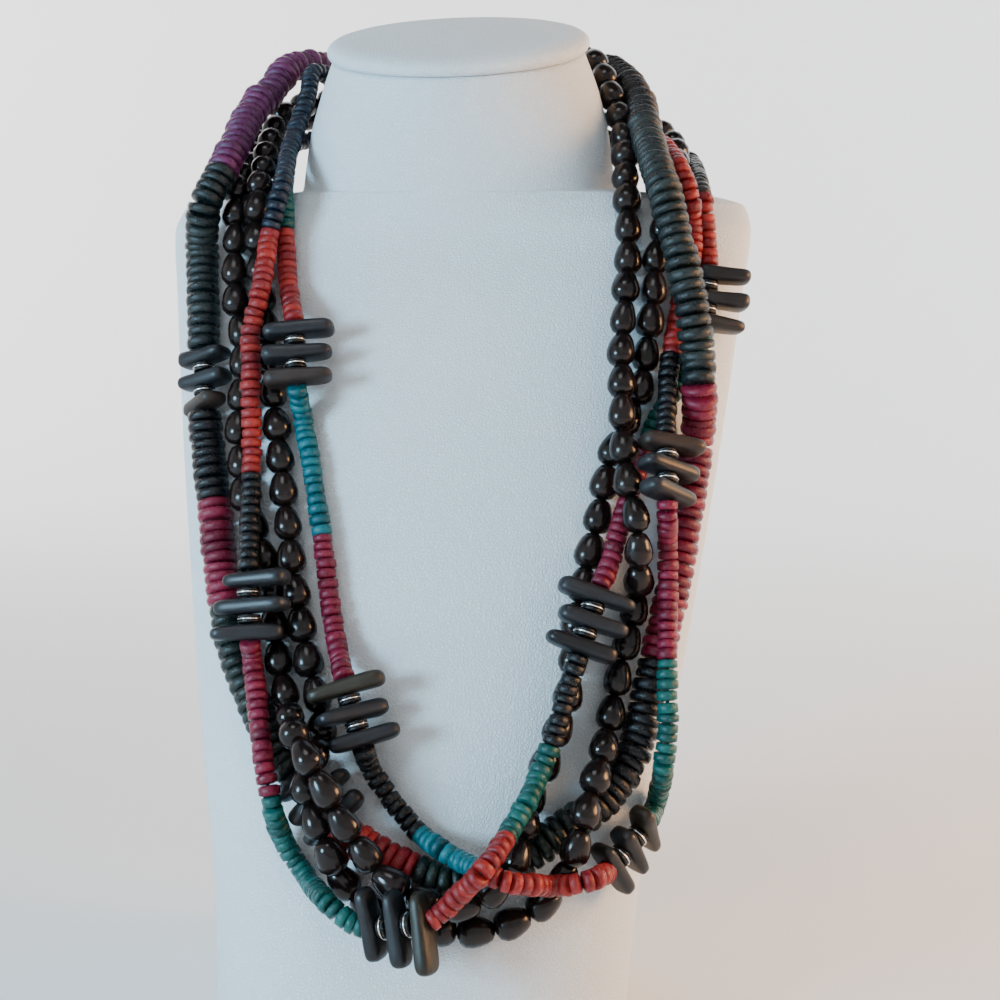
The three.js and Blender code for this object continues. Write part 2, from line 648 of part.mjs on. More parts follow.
const chipFinish = material(colours.chip, 0.45);
let chipNumber = 0;
for (const letter of ['A', 'B', 'C']) {
  const own = chipGroups.filter((group) => group.string === letter);
  const groups = own.map((group) => groupPlaces(letter, group));
  const straights = groups.map((places) => straightThrough(letter, places));
  const finish = material(colours[letter], 0.5);
  addPiece(strings[letter].node, makeDiscString(letter, groups, straights), finish);
  const chips = own.flatMap((group) => group.chips);
  groups.flat().forEach((distance, index) => {
    chipNumber += 1;
    const name = `chip_${String(chipNumber).padStart(2, '0')}`;
    const mesh = addPiece(name, makeChip(chips[index]), chipFinish);
    placeChip(mesh, placeAlong(curves[letter], straights, distance), chips[index]);
  });
}

const dropFinish = material(colours.drop, 0.15);
for (const letter of ['I', 'O']) {
  addPiece(strings[letter].node, makeDropString(letter), dropFinish);
}

export default necklace;
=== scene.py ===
import math

import bmesh
import bpy
import numpy as np
from mathutils import Matrix, Vector


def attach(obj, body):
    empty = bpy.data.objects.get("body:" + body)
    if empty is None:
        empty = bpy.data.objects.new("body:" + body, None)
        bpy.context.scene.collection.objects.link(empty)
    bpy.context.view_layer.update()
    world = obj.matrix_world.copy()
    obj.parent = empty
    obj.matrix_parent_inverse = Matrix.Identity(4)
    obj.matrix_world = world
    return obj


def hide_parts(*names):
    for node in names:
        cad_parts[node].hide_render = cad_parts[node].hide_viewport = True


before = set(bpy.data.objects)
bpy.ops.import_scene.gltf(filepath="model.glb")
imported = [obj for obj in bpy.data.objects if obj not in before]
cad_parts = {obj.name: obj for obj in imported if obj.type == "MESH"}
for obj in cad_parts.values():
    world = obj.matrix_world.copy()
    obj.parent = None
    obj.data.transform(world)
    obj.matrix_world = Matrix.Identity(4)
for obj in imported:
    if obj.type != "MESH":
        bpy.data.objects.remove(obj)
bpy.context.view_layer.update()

# Sizes are in millimetres and the frame is in metres: +Z up, +X to the viewer's right, chest to -Y.
MM = 0.001

# Bust
BUST_HEIGHT = 364
SHOULDER_WIDTH = 232
BASE_DEPTH = 160
BUST_FACETS = 112
STEPS_BETWEEN_SECTIONS = 8

# Padded lid on the neck
LID_THICKNESS = 8
LID_CROWN = 2.5
LID_OVERHANG = 1.5
LID_FACETS = 96
HEM_EASE = 1.2

# Beads
LARGE_DISC_DIAMETER = 13
LARGE_DISC_PITCH = 4.0
SMALL_DISC_DIAMETER = 7.5
SMALL_DISC_PITCH = 3.5
DROP_DIAMETER = 10.7
DROP_PITCH = 12.7
THREAD_DIAMETER = 1.4

# Chips and the washers between them
CHIP_LENGTH = 27
CHIP_WIDTH = 10
CHIP_THICKNESS = 5.6
WASHER_DIAMETER = 8.2
WASHER_THICKNESS = 3.2
SILVER_WASHER_DIAMETER = 8.6
SILVER_WASHER_THICKNESS = 0.6

# Clasp bar behind the neck
CLASP_WIDTH = 9
CLASP_DEPTH = 27
CLASP_HEIGHT = 31
CLASP_MIDDLE_Z = 344
CLASP_EDGE = 1.6

SEAT_GAP = 0.3
LAYING_GAP = 0.7
STACK_REACH = 45

# Place that the routes are seen from, which is the camera's
VIEW_MIDDLE = np.array([28.0, -4.0, 198.0])
VIEW_DISTANCE = 600
VIEW_TURN = math.radians(8)
VIEW_RISE = math.radians(8)
VIEW_GRID_HALF = 500
VIEW_GRID_UNIT = 0.36
CAMERA_SENSOR = 36

# Bust sections, lowest first: height is a share of the bust's height, half_width a share of half the
# shoulder width, middle (where the section is widest), front and back shares of the base depth.
# squareness is the section's corner power and tilt its lean towards the front in degrees.
SECTION_COLUMNS = ("height", "half_width", "middle", "front", "back", "squareness", "tilt")
BUST_SECTIONS = np.array([
    (0, 0.64, 0, 0.5, 0.5, 2.8, 0),
    (0.138, 0.68, 0.063, 0.45, 0.45, 2.8, 0),
    (0.302, 0.775, 0.163, 0.406, 0.375, 2.7, 0),
    (0.465, 0.858, 0.263, 0.363, 0.306, 2.6, 0),
    (0.618, 0.927, 0.356, 0.325, 0.25, 2.5, 0),
    (0.742, 0.975, 0.431, 0.288, 0.213, 2.4, 0),
    (0.811, 1, 0.469, 0.25, 0.194, 2.3, 0),
    (0.836, 0.978, 0.481, 0.26, 0.181, 1.7, 0),
    (0.8475, 0.87, 0.488, 0.265, 0.169, 1.65, 0),
    (0.8555, 0.54, 0.488, 0.265, 0.2, 2.4, 2),
    (0.88, 0.528, 0.49, 0.266, 0.215, 2.4, 5),
    (0.92, 0.51, 0.492, 0.267, 0.225, 2.3, 9),
    (0.963, 0.475, 0.487, 0.262, 0.236, 2, 14),
    (1, 0.43, 0.475, 0.254, 0.256, 2, 18),
])


# Points of a string's route. on: lying on the chest at a place of the view grid, over the strings
# whose letters are given where they are in its way, and lifted further by what is given in mm.
# beside: in the air at a place of the view grid, at a depth y. behind: out of sight.
def on(across, down, beneath="", lift=0):
    return {"grid": (across, down), "beneath": beneath, "lift": lift}


def beside(across, down, y):
    return {"grid": (across, down), "y": y}


def behind(x, y, z):
    return {"place": np.array([x, y, z], float)}


CLASP_FACE_X = CLASP_WIDTH / 2 + SEAT_GAP
END_RUN = 7
INNER_Y = 123
OUTER_Y = 136


def at_clasp(side, y, z):
    """A string's end at the clasp, a short straight run: side is -1 at its left face, 1 at its right."""
    return [behind(side * CLASP_FACE_X, y, z), behind(side * (CLASP_FACE_X + END_RUN), y, z)]


STRINGS = {
    "A": {"diameter": LARGE_DISC_DIAMETER, "route": [
        *at_clasp(-1, OUTER_Y, 353), behind(-30, 136, 358), behind(-56, 127, 364), beside(294, 67, 103),
        beside(271, 91, 86), beside(251, 112, 72), beside(237, 142, 55), beside(219, 176, 40),
        beside(204, 208, 33), on(202, 250), on(203, 300), on(204, 345, "", 0.5), on(204, 380, "", 1),
        on(205, 415, "", 1), on(208, 450), on(214, 503), on(220, 560), on(228, 622), on(240, 668),
        on(258, 712), on(280, 755), on(303, 784), on(322, 808), on(345, 832), on(376, 852),
        on(411, 870), on(445, 881), on(480, 879), on(515, 864), on(553, 836), on(599, 804),
        on(632, 757), on(646, 705), on(657, 655), on(671, 599), on(681, 545), on(690, 490),
        on(697, 444, "B"), on(699, 412, "B", 2), on(699, 385, "B", 3), on(698, 360, "B", 2),
        on(694, 322, "BCI", 4), on(688, 290, "BCI", 4), on(681, 258, "BCI", 3), on(674, 228, "BCI", 1),
        beside(667, 200, 27), beside(658, 172, 36), beside(646, 133, 64), beside(637, 98, 95),
        beside(618, 74, 116), behind(52, 126, 363), behind(28, 135, 357),
        *at_clasp(1, OUTER_Y, 353)[::-1],
    ]},
    "B": {"diameter": SMALL_DISC_DIAMETER, "route": [
        *at_clasp(-1, INNER_Y, 342), behind(-26, 121, 343), behind(-48, 109, 351), beside(316, 72, 94),
        beside(308, 96, 82), beside(299, 122, 72), beside(290, 150, 53), beside(283, 180, 35),
        beside(276, 207, 28), on(269, 236, "CIO"), on(265, 265, "CIO"), on(259, 298, "AIO", 1),
        on(251, 332, "AIO"), on(251, 362, "AIO"), on(251, 393, "AIO"), on(252, 442, "AIO"),
        on(251, 485, "AIO"), on(250, 520, "AIO"), on(249, 550, "AIO", 2), on(248, 578, "AIO", 4),
        on(248, 606, "AIO", 4), on(249, 632, "AIO", 4), on(252, 660, "AIO"), on(256, 690, "AIO"),
        on(260, 735, "AIO"), on(266, 775, "AIO", 3), on(272, 806, "A", 4), on(284, 840, "", 3),
        on(305, 875), on(325, 900, "IO", 3), on(347, 920, "IO", 6), on(370, 930, "IO", 6),
        on(393, 932, "AIO", 6), on(416, 929, "AIO", 5), on(440, 914, "ACIO", 2),
        on(462, 892, "ACIO", 1.5), on(482, 872, "ACIO", 1), on(497, 852, "ACIO", 0.5),
        on(511, 829, "ACIO", 0.5), on(525, 806, "ACIO", 0.5), on(540, 772, "ACIO"),
        on(555, 733, "ACIO"), on(566, 692, "IO"), on(577, 660, "IO", 2), on(588, 622, "IO", 2),
        on(598, 590, "IO", 2), on(610, 562, "I"), on(618, 532, "I"), on(626, 505, "I"), on(638, 472),
        on(648, 440), on(664, 405), on(685, 375), on(701, 345), on(706, 322, "", 1),
        on(708, 298, "", 1), on(709, 272, "", 1), on(708, 245), on(706, 222), beside(704, 204, 48),
        beside(700, 187, 58), beside(696, 173, 82), beside(686, 160, 108), behind(64, 128, 332),
        behind(36, 125, 341), *at_clasp(1, INNER_Y, 342)[::-1],
    ]},
    "C": {"diameter": SMALL_DISC_DIAMETER, "route": [
        *at_clasp(-1, INNER_Y, 333), behind(-28, 122, 332), behind(-52, 113, 334),
        beside(303, 141, 108), beside(290, 148, 93), beside(285, 165, 75), beside(285, 178, 57),
        beside(284, 194, 41), on(285, 220), on(286, 250), on(288, 285, "O", 1), on(294, 322, "O", 6),
        on(295, 352, "O", 6), on(297, 385, "O", 6), on(303, 418, "O"), on(309, 452, "O"),
        on(318, 509, "O"), on(325, 560, "O"), on(331, 610, "O"), on(338, 650, "O", 2),
        on(344, 680, "O", 6), on(352, 712, "O", 6), on(361, 742, "O", 6), on(370, 766, "I", 2),
        on(384, 789, "I"), on(402, 814, "AI"), on(422, 835, "AI", 1), on(440, 849, "AIO", 1),
        on(456, 859, "AIO"), on(473, 867, "AIO", 1), on(490, 876, "AIO", 3), on(507, 881, "AIO", 3.5),
        on(531, 885, "AIO", 1.5), on(553, 886, "AIO"), on(576, 884, "AO", 1.5), on(595, 878, "AO", 2),
        on(611, 867, "A", 2), on(628, 848, "A", 2), on(645, 827, "", 2), on(655, 806, "", 2.5),
        on(663, 770, "A", 1), on(668, 730, "A", 1.5), on(667, 690, "A", 1.5), on(667, 640, "A"),
        on(668, 590, "A"), on(668, 545, "A", 3), on(667, 510, "AB", 9), on(666, 468, "AB", 9),
        on(666, 432, "AB", 7), on(667, 402, "B", 2.5), on(669, 372, "B", 1), on(675, 330), on(682, 300),
        on(689, 272, "B"), on(692, 248, "B"), on(692, 222, "B"), beside(690, 198, 37),
        beside(686, 183, 38), beside(680, 169, 42), beside(672, 155, 56), beside(656, 142, 84),
        behind(58, 115, 332), behind(32, 121, 331), *at_clasp(1, INNER_Y, 333)[::-1],
    ]},
    "I": {"diameter": DROP_DIAMETER, "route": [
        *at_clasp(-1, OUTER_Y, 340), behind(-34, 137, 342), behind(-72, 127, 345),
        beside(266, 128, 110), beside(256, 146, 92), beside(248, 166, 73), beside(240, 184, 54),
        beside(235, 207, 44), on(235, 235), on(235, 280), on(240, 325), on(243, 355), on(242, 390),
        on(239, 435), on(243, 485), on(254, 525), on(264, 560), on(272, 608), on(278, 655),
        on(286, 700, "A"), on(296, 738, "AO"), on(308, 762, "AO"), on(324, 788, "AO"),
        on(343, 823, "AO"), on(366, 856, "AO"), on(389, 881, "AO"), on(418, 899, "AO"),
        on(450, 907, "AO"), on(478, 901, "AO"), on(500, 884, "A"), on(517, 858, "A"), on(524, 826, "A"),
        on(533, 797, "A"), on(546, 761), on(562, 720), on(571, 680), on(575, 640), on(579, 600),
        on(588, 565), on(596, 530), on(603, 490), on(612, 450), on(628, 418), on(641, 385),
        on(648, 345), on(652, 305), on(655, 268), on(661, 238), beside(667, 212, 43),
        beside(672, 190, 49), beside(675, 172, 68), beside(676, 155, 88), beside(668, 138, 108),
        behind(60, 133, 343), behind(30, 137, 341), *at_clasp(1, OUTER_Y, 340)[::-1],
    ]},
    "O": {"diameter": DROP_DIAMETER, "route": [
        *at_clasp(-1, INNER_Y, 352), behind(-34, 123, 352), behind(-66, 116, 350),
        beside(284, 115, 100), beside(272, 140, 80), beside(265, 162, 61), beside(261, 182, 47),
        beside(258, 204, 37), on(257, 232), on(259, 262), on(262, 300), on(268, 340), on(272, 385),
        on(277, 430), on(284, 486), on(290, 545), on(297, 600), on(306, 650), on(316, 694),
        on(321, 728, "", 1), on(314, 760, "A", 2.5), on(306, 785, "A", 1.5), on(312, 812, "A"),
        on(328, 850, "A"), on(347, 886), on(375, 912), on(410, 926), on(457, 930), on(493, 929),
        on(528, 915), on(554, 893), on(572, 858, "A"), on(583, 826, "A"), on(592, 790, "A"),
        on(603, 753, "A", 0.7), on(611, 716, "A"), on(618, 677, "A"), on(629, 637, "A"),
        on(636, 599, "AB"), on(639, 561, "AB"), on(637, 521, "AB"), on(629, 484, "BI"),
        on(624, 446, "BI"), on(621, 411, "BI"), on(621, 376, "I"), on(622, 340, "I"), on(625, 300, "I"),
        on(627, 260), on(628, 232), beside(627, 205, 40), beside(626, 176, 51), beside(624, 143, 66),
        beside(618, 113, 80), beside(607, 85, 93), beside(596, 64, 105), beside(584, 56, 115),
        behind(26, 123, 359), *at_clasp(1, INNER_Y, 352)[::-1],
    ]},
}

# Chip groups, three chips each: middle is the group's place on its string. For each chip, roll
# turns its long side about the string, right end towards the chest, in degrees, slide moves it
# along that side in mm, and length is a share of the chip length.
CHIP_COLUMNS = ("roll", "slide", "length")
CHIP_ROWS = [
    ("A", (204, 380), ((4, 0, 0.8), (8, 0, 0.82), (-20, -0.5, 0.84))),
    ("A", (316, 799), ((-4, 0, 0.75), (0, 1.5, 0.98), (4, 0.5, 0.95))),
    ("B", (248, 606), ((6, 3, 0.93), (2, 1, 1.06), (28, -1, 0.96))),
    ("B", (393, 934), ((-15, 1.5, 0.92), (-7, -1, 0.94), (-6, -3.2, 1))),
    ("B", (588, 621), ((2, 0, 0.95), (0, 1.5, 0.93), (-2, 0, 1.04))),
    ("B", (705, 298), ((-16, 4.5, 0.8), (-18, 5.4, 0.8), (-24, 5.8, 0.75))),
    ("C", (295, 353), ((14, 1.5, 0.98), (15, 0.5, 0.96), (15, 0.5, 0.93))),
    ("C", (352, 713), ((10, 0, 1.04), (34, -0.5, 0.98), (14, 1.5, 0.94))),
    ("C", (628, 848), ((0, -1.5, 0.84), (-3, -2.5, 0.78), (0, -1.5, 0.84))),
    ("C", (666, 468), ((14, 1, 0.88), (8, 1.2, 0.92), (-6, 2.5, 0.9))),
]
CHIP_GROUPS = [
    {"string": letter, "middle": middle, "chips": [dict(zip(CHIP_COLUMNS, chip)) for chip in chips]}
    for letter, middle, chips in CHIP_ROWS
]

# Paints and dyes as they look in daylight, two shades each: a bead takes one between them
SHADES = {
    "plum": ((78, 24, 66), (98, 34, 78)),
    "burgundy": ((92, 14, 38), (124, 28, 54)),
    "crimson": ((126, 24, 36), (156, 38, 38)),
    "coral": ((112, 24, 31), (147, 39, 36)),
    "teal": ((2, 63, 60), (8, 90, 85)),
    "turquoise": ((3, 74, 84), (9, 102, 112)),
    "slate": ((17, 26, 28), (34, 42, 41)),
    "deep_green": ((14, 24, 24), (28, 42, 37)),
    "black": ((8, 10, 13), (18, 21, 25)),
    "navy": ((10, 19, 32), (20, 32, 47)),
    "drop_black": ((12, 8, 8), (25, 16, 15)),
    "charcoal": ((21, 23, 26), (34, 36, 40)),
    "olive": ((36, 34, 27), (50, 46, 37)),
    "walnut": ((35, 28, 26), (46, 37, 33)),
}

# Colours along each disc string: a shade, and the place of the view grid where its stretch ends
STRETCHES = {
    "A": (("plum", (226, 176)), ("slate", (204, 380)), ("black", (214, 507)), ("burgundy", (224, 604)),
          ("deep_green", (316, 799)), ("crimson", (413, 871)), ("deep_green", (595, 806)),
          ("black", (654, 662)), ("burgundy", (699, 380)), ("slate", (649, 122)), ("black", None)),
    "B": (("navy", (270, 230)), ("coral", (251, 477)), ("black", (248, 606)), ("burgundy", (267, 792)),
          ("teal", (393, 934)), ("coral", (506, 838)), ("teal", (550, 750)), ("black", (588, 621)),
          ("burgundy", (647, 443)), ("teal", (708, 298)), ("coral", (704, 200)), ("slate", None)),
    "C": (("navy", (284, 158)), ("teal", (284, 232)), ("coral", (295, 353)), ("turquoise", (321, 535)),
          ("burgundy", (352, 713)), ("black", (417, 831)), ("turquoise", (492, 876)),
          ("coral", (628, 848)), ("teal", (667, 660)), ("burgundy", (666, 468)),
          ("black", (670, 352)), ("coral", (658, 145)), ("navy", None)),
}

# Chips whose dye has browned, by number; the others are charcoal
BROWN_CHIPS = {3: "walnut", 12: "olive", 21: "walnut", 22: "olive", 27: "olive", 30: "walnut"}


def section_at(row):
    """The bust's section at a row number of its table, smoothly between the rows and never past them."""
    heights = BUST_SECTIONS[:, 0]
    steepness = np.diff(BUST_SECTIONS, axis=0) / np.diff(heights)[:, None]
    together = steepness[:-1] * steepness[1:]
    slopes = np.zeros_like(BUST_SECTIONS)
    sums = np.where(together > 0, steepness[:-1] + steepness[1:], 1)
    slopes[1:-1] = np.where(together > 0, 2 * together / sums, 0)
    slopes[0], slopes[-1] = steepness[0], steepness[-1]
    low = min(int(row), len(heights) - 2)
    part = row - low
    span = heights[low + 1] - heights[low]
    start, end = BUST_SECTIONS[low], BUST_SECTIONS[low + 1]
    pull_start, pull_end = slopes[low] * span, slopes[low + 1] * span
    smooth = (start + pull_start * part + (3 * (end - start) - 2 * pull_start - pull_end) * part ** 2
              + (2 * (start - end) + pull_start + pull_end) * part ** 3)
    return dict(zip(SECTION_COLUMNS, smooth))


def section_ring(section, count, grow=0.0, lift=0.0):
    """Points of a section, anticlockwise from above, grown all round and lifted, in mm."""
    angle = 2 * np.pi * (np.arange(count) + 0.5) / count
    power = 2 / section["squareness"]
    lean = math.tan(math.radians(section["tilt"]))
    cos, sin = np.cos(angle), np.sin(angle)
    depth = np.where(sin < 0, section["front"], section["back"]) * BASE_DEPTH + grow
    half = section["half_width"] * SHOULDER_WIDTH / 2 + grow
    reach = depth * np.sign(sin) * np.abs(sin) ** power
    x = half * np.sign(cos) * np.abs(cos) ** power
    y = section["middle"] * BASE_DEPTH + reach
    z = section["height"] * BUST_HEIGHT + lift + reach * lean
    return np.stack([x, y, z], axis=1)


def chest_depth(x, z):
    """Depth y of the chest's front surface at places of the front view."""
    heights = BUST_SECTIONS[:, 0] * BUST_HEIGHT
    column = {name: np.interp(z, heights, BUST_SECTIONS[:, index])
              for index, name in enumerate(SECTION_COLUMNS)}
    edge = 0.985
    share = np.minimum(np.abs(x) / (column["half_width"] * SHOULDER_WIDTH / 2), edge)
    power = 2 / column["squareness"]
    rise = (1 - share ** (2 / power)) ** (power / 2)
    return (column["middle"] - column["front"] * rise) * BASE_DEPTH


def chest_normal(x, z):
    """Outward normals of the chest's front surface."""
    step = 1.5
    slope_x = (chest_depth(x + step, z) - chest_depth(x - step, z)) / (2 * step)
    slope_z = (chest_depth(x, z + step) - chest_depth(x, z - step)) / (2 * step)
    normal = np.stack([slope_x, -np.ones_like(slope_x), slope_z], axis=-1)
    return normal / np.linalg.norm(normal, axis=-1, keepdims=True)


view_forward = np.array([
    -math.sin(VIEW_TURN) * math.cos(VIEW_RISE),
    math.cos(VIEW_TURN) * math.cos(VIEW_RISE),
    -math.sin(VIEW_RISE),
])
view_right = np.cross(view_forward, (0, 0, 1))
view_right /= np.linalg.norm(view_right)
view_up = np.cross(view_right, view_forward)
eye = VIEW_MIDDLE - view_forward * VIEW_DISTANCE


def view_ray(across, down):
    """From the eye to a place of the view grid, in the plane of the view's middle."""
    target = (VIEW_MIDDLE + view_right * (across - VIEW_GRID_HALF) * VIEW_GRID_UNIT
              + view_up * (VIEW_GRID_HALF - down) * VIEW_GRID_UNIT)
    return target - eye


def unit(vector):
    return vector / np.linalg.norm(vector)


# The camera comes first, because everything is laid out as it sees it
def set_camera():
    data = bpy.data.cameras.new("camera")
    data.sensor_width = CAMERA_SENSOR
    data.lens = CAMERA_SENSOR * VIEW_DISTANCE / (2 * VIEW_GRID_HALF * VIEW_GRID_UNIT)
    data.clip_start = 0.02
    data.clip_end = 20
    camera = bpy.data.objects.new("camera", data)
    bpy.context.scene.collection.objects.link(camera)
    axes = Matrix((view_right, view_up, -view_forward)).transposed().to_4x4()
    camera.matrix_world = Matrix.Translation(Vector(eye * MM)) @ axes
    bpy.context.scene.camera = camera


set_camera()


# Routes of the strings
class Route:
    """A smooth route through places, measured by the distance along it, with straight stretches in it."""

    steps = 20

    def __init__(self, places):
        self.points = self.smooth(places)
        lengths = np.linalg.norm(np.diff(self.points, axis=0), axis=1)
        self.distances = np.concatenate([[0], np.cumsum(lengths)])
        self.length = self.distances[-1]
        self.straights = []

    def smooth(self, places):
        ends = np.vstack([2 * places[0] - places[1], places, 2 * places[-1] - places[-2]])
        knots = np.linalg.norm(np.diff(ends, axis=0), axis=1) ** 0.5
        points = []
        for index in range(1, len(ends) - 2):
            a, b, c, d = ends[index - 1:index + 3]
            before, inside, after = knots[index - 1:index + 2]
            start = ((b - a) / before - (c - a) / (before + inside) + (c - b) / inside) * inside
            end = ((c - b) / inside - (d - b) / (inside + after) + (d - c) / after) * inside
            part = np.arange(self.steps)[:, None] / self.steps
            points.append(b + start * part + (3 * (c - b) - 2 * start - end) * part ** 2
                          + (2 * (b - c) + start + end) * part ** 3)
        return np.vstack(points + [ends[-2:-1]])

    def place(self, distance):
        return np.array([np.interp(distance, self.distances, self.points[:, axis]) for axis in range(3)])

    def at(self, distance):
        """Place and direction at a distance along the route."""
        for start, end, centre, along in self.straights:
            if start <= distance <= end:
                return centre + along * (distance - (start + end) / 2), along
        step = 0.5
        along = unit(self.place(min(distance + step, self.length)) - self.place(max(distance - step, 0)))
        return self.place(distance), along

    def nearest(self, across, down):
        """Distance of the point that is seen nearest to a place of the view grid."""
        direction = unit(view_ray(across, down))
        offset = self.points - eye
        gap = np.linalg.norm(offset - np.outer(offset @ direction, direction), axis=1)
        return self.distances[np.argmin(gap)]

    def pull_straight(self, start, end):
        first, last = self.place(start), self.place(end)
        self.straights.append((start, end, (first + last) / 2, unit(last - first)))


# Shares of a ray that are tried, first in coarse steps and then within one of them
COARSE_STEP = 0.0006
COARSE_SHARES = np.arange(0.84, 1.2, COARSE_STEP)
FINE_SHARES = np.linspace(0, COARSE_STEP, 25)


def lying_place(point, radius, beneath):
    """Place of a route's point, clear of the chest and of the axes of the strings beneath it."""
    if "place" in point:
        return point["place"]
    ray = view_ray(*point["grid"])
    if "y" in point:
        return eye + ray * (point["y"] - eye[1]) / ray[1]

    def first_blocked(shares):
        places = eye + np.outer(shares, ray)
        x, y, z = places.T
        clear = (y - chest_depth(x, z)) * chest_normal(x, z)[:, 1] >= radius + LAYING_GAP + point["lift"]
        for axis, keep in beneath:
            gap = np.linalg.norm(places[:, None] - axis[None], axis=2).min(axis=1)
            clear &= gap >= keep + point["lift"]
        return max(int(np.argmin(clear)), 1)

    coarse = COARSE_SHARES[first_blocked(COARSE_SHARES) - 1]
    fine = coarse + FINE_SHARES
    return eye + ray * fine[first_blocked(fine) - 1]


LAYING_PASSES = 6
AXIS_STEP = 2.5


def lay_strings():
    """Routes of all strings: each pass lifts every point over what lay beneath it in the pass before."""
    routes = {}
    on_chest = {(letter, index): lying_place({**point, "lift": 0}, string["diameter"] / 2, [])
                for letter, string in STRINGS.items() for index, point in enumerate(string["route"])}
    for _ in range(LAYING_PASSES):
        axes = {}
        for letter, route in routes.items():
            spaced = np.linspace(0, route.length, round(route.length / AXIS_STEP))
            axes[letter] = route.place(spaced).T
        laid = {}
        for letter, string in STRINGS.items():
            places = []
            for index, point in enumerate(string["route"]):
                beneath = []
                for other in point.get("beneath", ""):
                    if other in axes:
                        reach = np.linalg.norm(axes[other] - on_chest[letter, index], axis=1)
                        near = reach < STACK_REACH
                        keep = (string["diameter"] + STRINGS[other]["diameter"]) / 2 + LAYING_GAP
                        if near.any():
                            beneath.append((axes[other][near], keep))
                places.append(lying_place(point, string["diameter"] / 2, beneath))
            laid[letter] = Route(np.array(places))
        routes = laid
    return routes


routes = lay_strings()

CHIP_PITCH = CHIP_THICKNESS + WASHER_THICKNESS + 2 * SEAT_GAP
CHIP_REACH = CHIP_THICKNESS / 2 + SEAT_GAP


def chip_distances(group):
    """Distances of a group's chips along its string."""
    middle = routes[group["string"]].nearest(*group["middle"])
    count = len(group["chips"])
    return [middle + (index - (count - 1) / 2) * CHIP_PITCH for index in range(count)]


for group in CHIP_GROUPS:
    group["distances"] = chip_distances(group)
    first, last = group["distances"][0], group["distances"][-1]
    routes[group["string"]].pull_straight(first - CHIP_REACH, last + CHIP_REACH)


# Meshes
def new_object(name, mesh):
    piece = bpy.data.objects.new(name, mesh)
    bpy.context.scene.collection.objects.link(piece)
    return piece


def mesh_from_rings(name, rings, closed_ends=True):
    """Smooth mesh through rings of equally many points in mm, from the ring at one end to the other."""
    count = len(rings[0])
    points = np.concatenate(rings) * MM
    faces = []
    for row in range(len(rings) - 1):
        for side in range(count):
            a = row * count + side
            b = row * count + (side + 1) % count
            faces.append((a, b, b + count, a + count))
    if closed_ends:
        last = (len(rings) - 1) * count
        faces.append(tuple(range(count))[::-1])
        faces.append(tuple(range(last, last + count)))
    mesh = bpy.data.meshes.new(name)
    mesh.from_pydata(points.tolist(), [], faces)
    mesh.polygons.foreach_set("use_smooth", [True] * len(faces))
    mesh.update()
    return mesh


def turned_bead(name, profile, sides):
    """Bead of a lathe profile, in a 1 m cube: rows of a share of the radius and of half the height."""
    angle = 2 * np.pi * np.arange(sides) / sides
    half = 0.5 / MM
    rings = [np.stack([radius * half * np.cos(angle), radius * half * np.sin(angle),
                       np.full(sides, height * half)], axis=1) for radius, height in profile]
    return new_object(name, mesh_from_rings(name, rings))


# Lathe profiles, lowest first
LARGE_DISC_PROFILE = ((0.62, -0.97), (0.945, -0.73), (1, 0), (0.945, 0.73), (0.62, 0.97))
SMALL_DISC_PROFILE = ((0.66, -0.96), (0.975, -0.68), (0.975, 0.68), (0.66, 0.96))
WASHER_PROFILE = ((0.9, -1), (1, -0.7), (1, 0.7), (0.9, 1))
DROP_PROFILE = ((0.26, -1), (0.56, -0.88), (0.76, -0.6), (0.92, -0.2), (1, 0.2), (0.95, 0.56), (0.7, 0.86),
                (0.3, 1))

LARGE_DISC_SIDES = 16
SMALL_DISC_SIDES = 16
DROP_SIDES = 12


# Node trees
def new_tree(name, kind, inputs, outputs):
    """Node tree with named inputs and outputs: rows of a label, a kind of socket and maybe a value."""
    tree = bpy.data.node_groups.new(name, kind)
    for label, socket_kind, *value in inputs:
        socket = tree.interface.new_socket(name=label, in_out="INPUT", socket_type=socket_kind)
        if value:
            socket.default_value = value[0]
    for label, socket_kind in outputs:
        tree.interface.new_socket(name=label, in_out="OUTPUT", socket_type=socket_kind)
    return tree, tree.nodes.new("NodeGroupInput").outputs, tree.nodes.new("NodeGroupOutput").inputs


def add_node(tree, kind, inputs, **settings):
    """Outputs of a new node. Its inputs, by name or number, are linked to sockets or set to values."""
    node = tree.nodes.new(kind)
    for label, value in settings.items():
        setattr(node, label, value)
    for key, value in inputs.items():
        if isinstance(value, bpy.types.NodeSocket):
            tree.links.new(value, node.inputs[key])
        else:
            node.inputs[key].default_value = value
    return node.outputs


def named_vector(tree, name):
    return add_node(tree, "GeometryNodeInputNamedAttribute", {"Name": name},
                    data_type="FLOAT_VECTOR")["Attribute"]


def give_finished(tree, geometry, finish, result):
    """A tree's result: its geometry as plain meshes with their finish."""
    realized = add_node(tree, "GeometryNodeRealizeInstances", {"Geometry": geometry})
    dressed = add_node(tree, "GeometryNodeSetMaterial",
                       {"Geometry": realized["Geometry"], "Material": finish})
    tree.links.new(dressed["Geometry"], result)


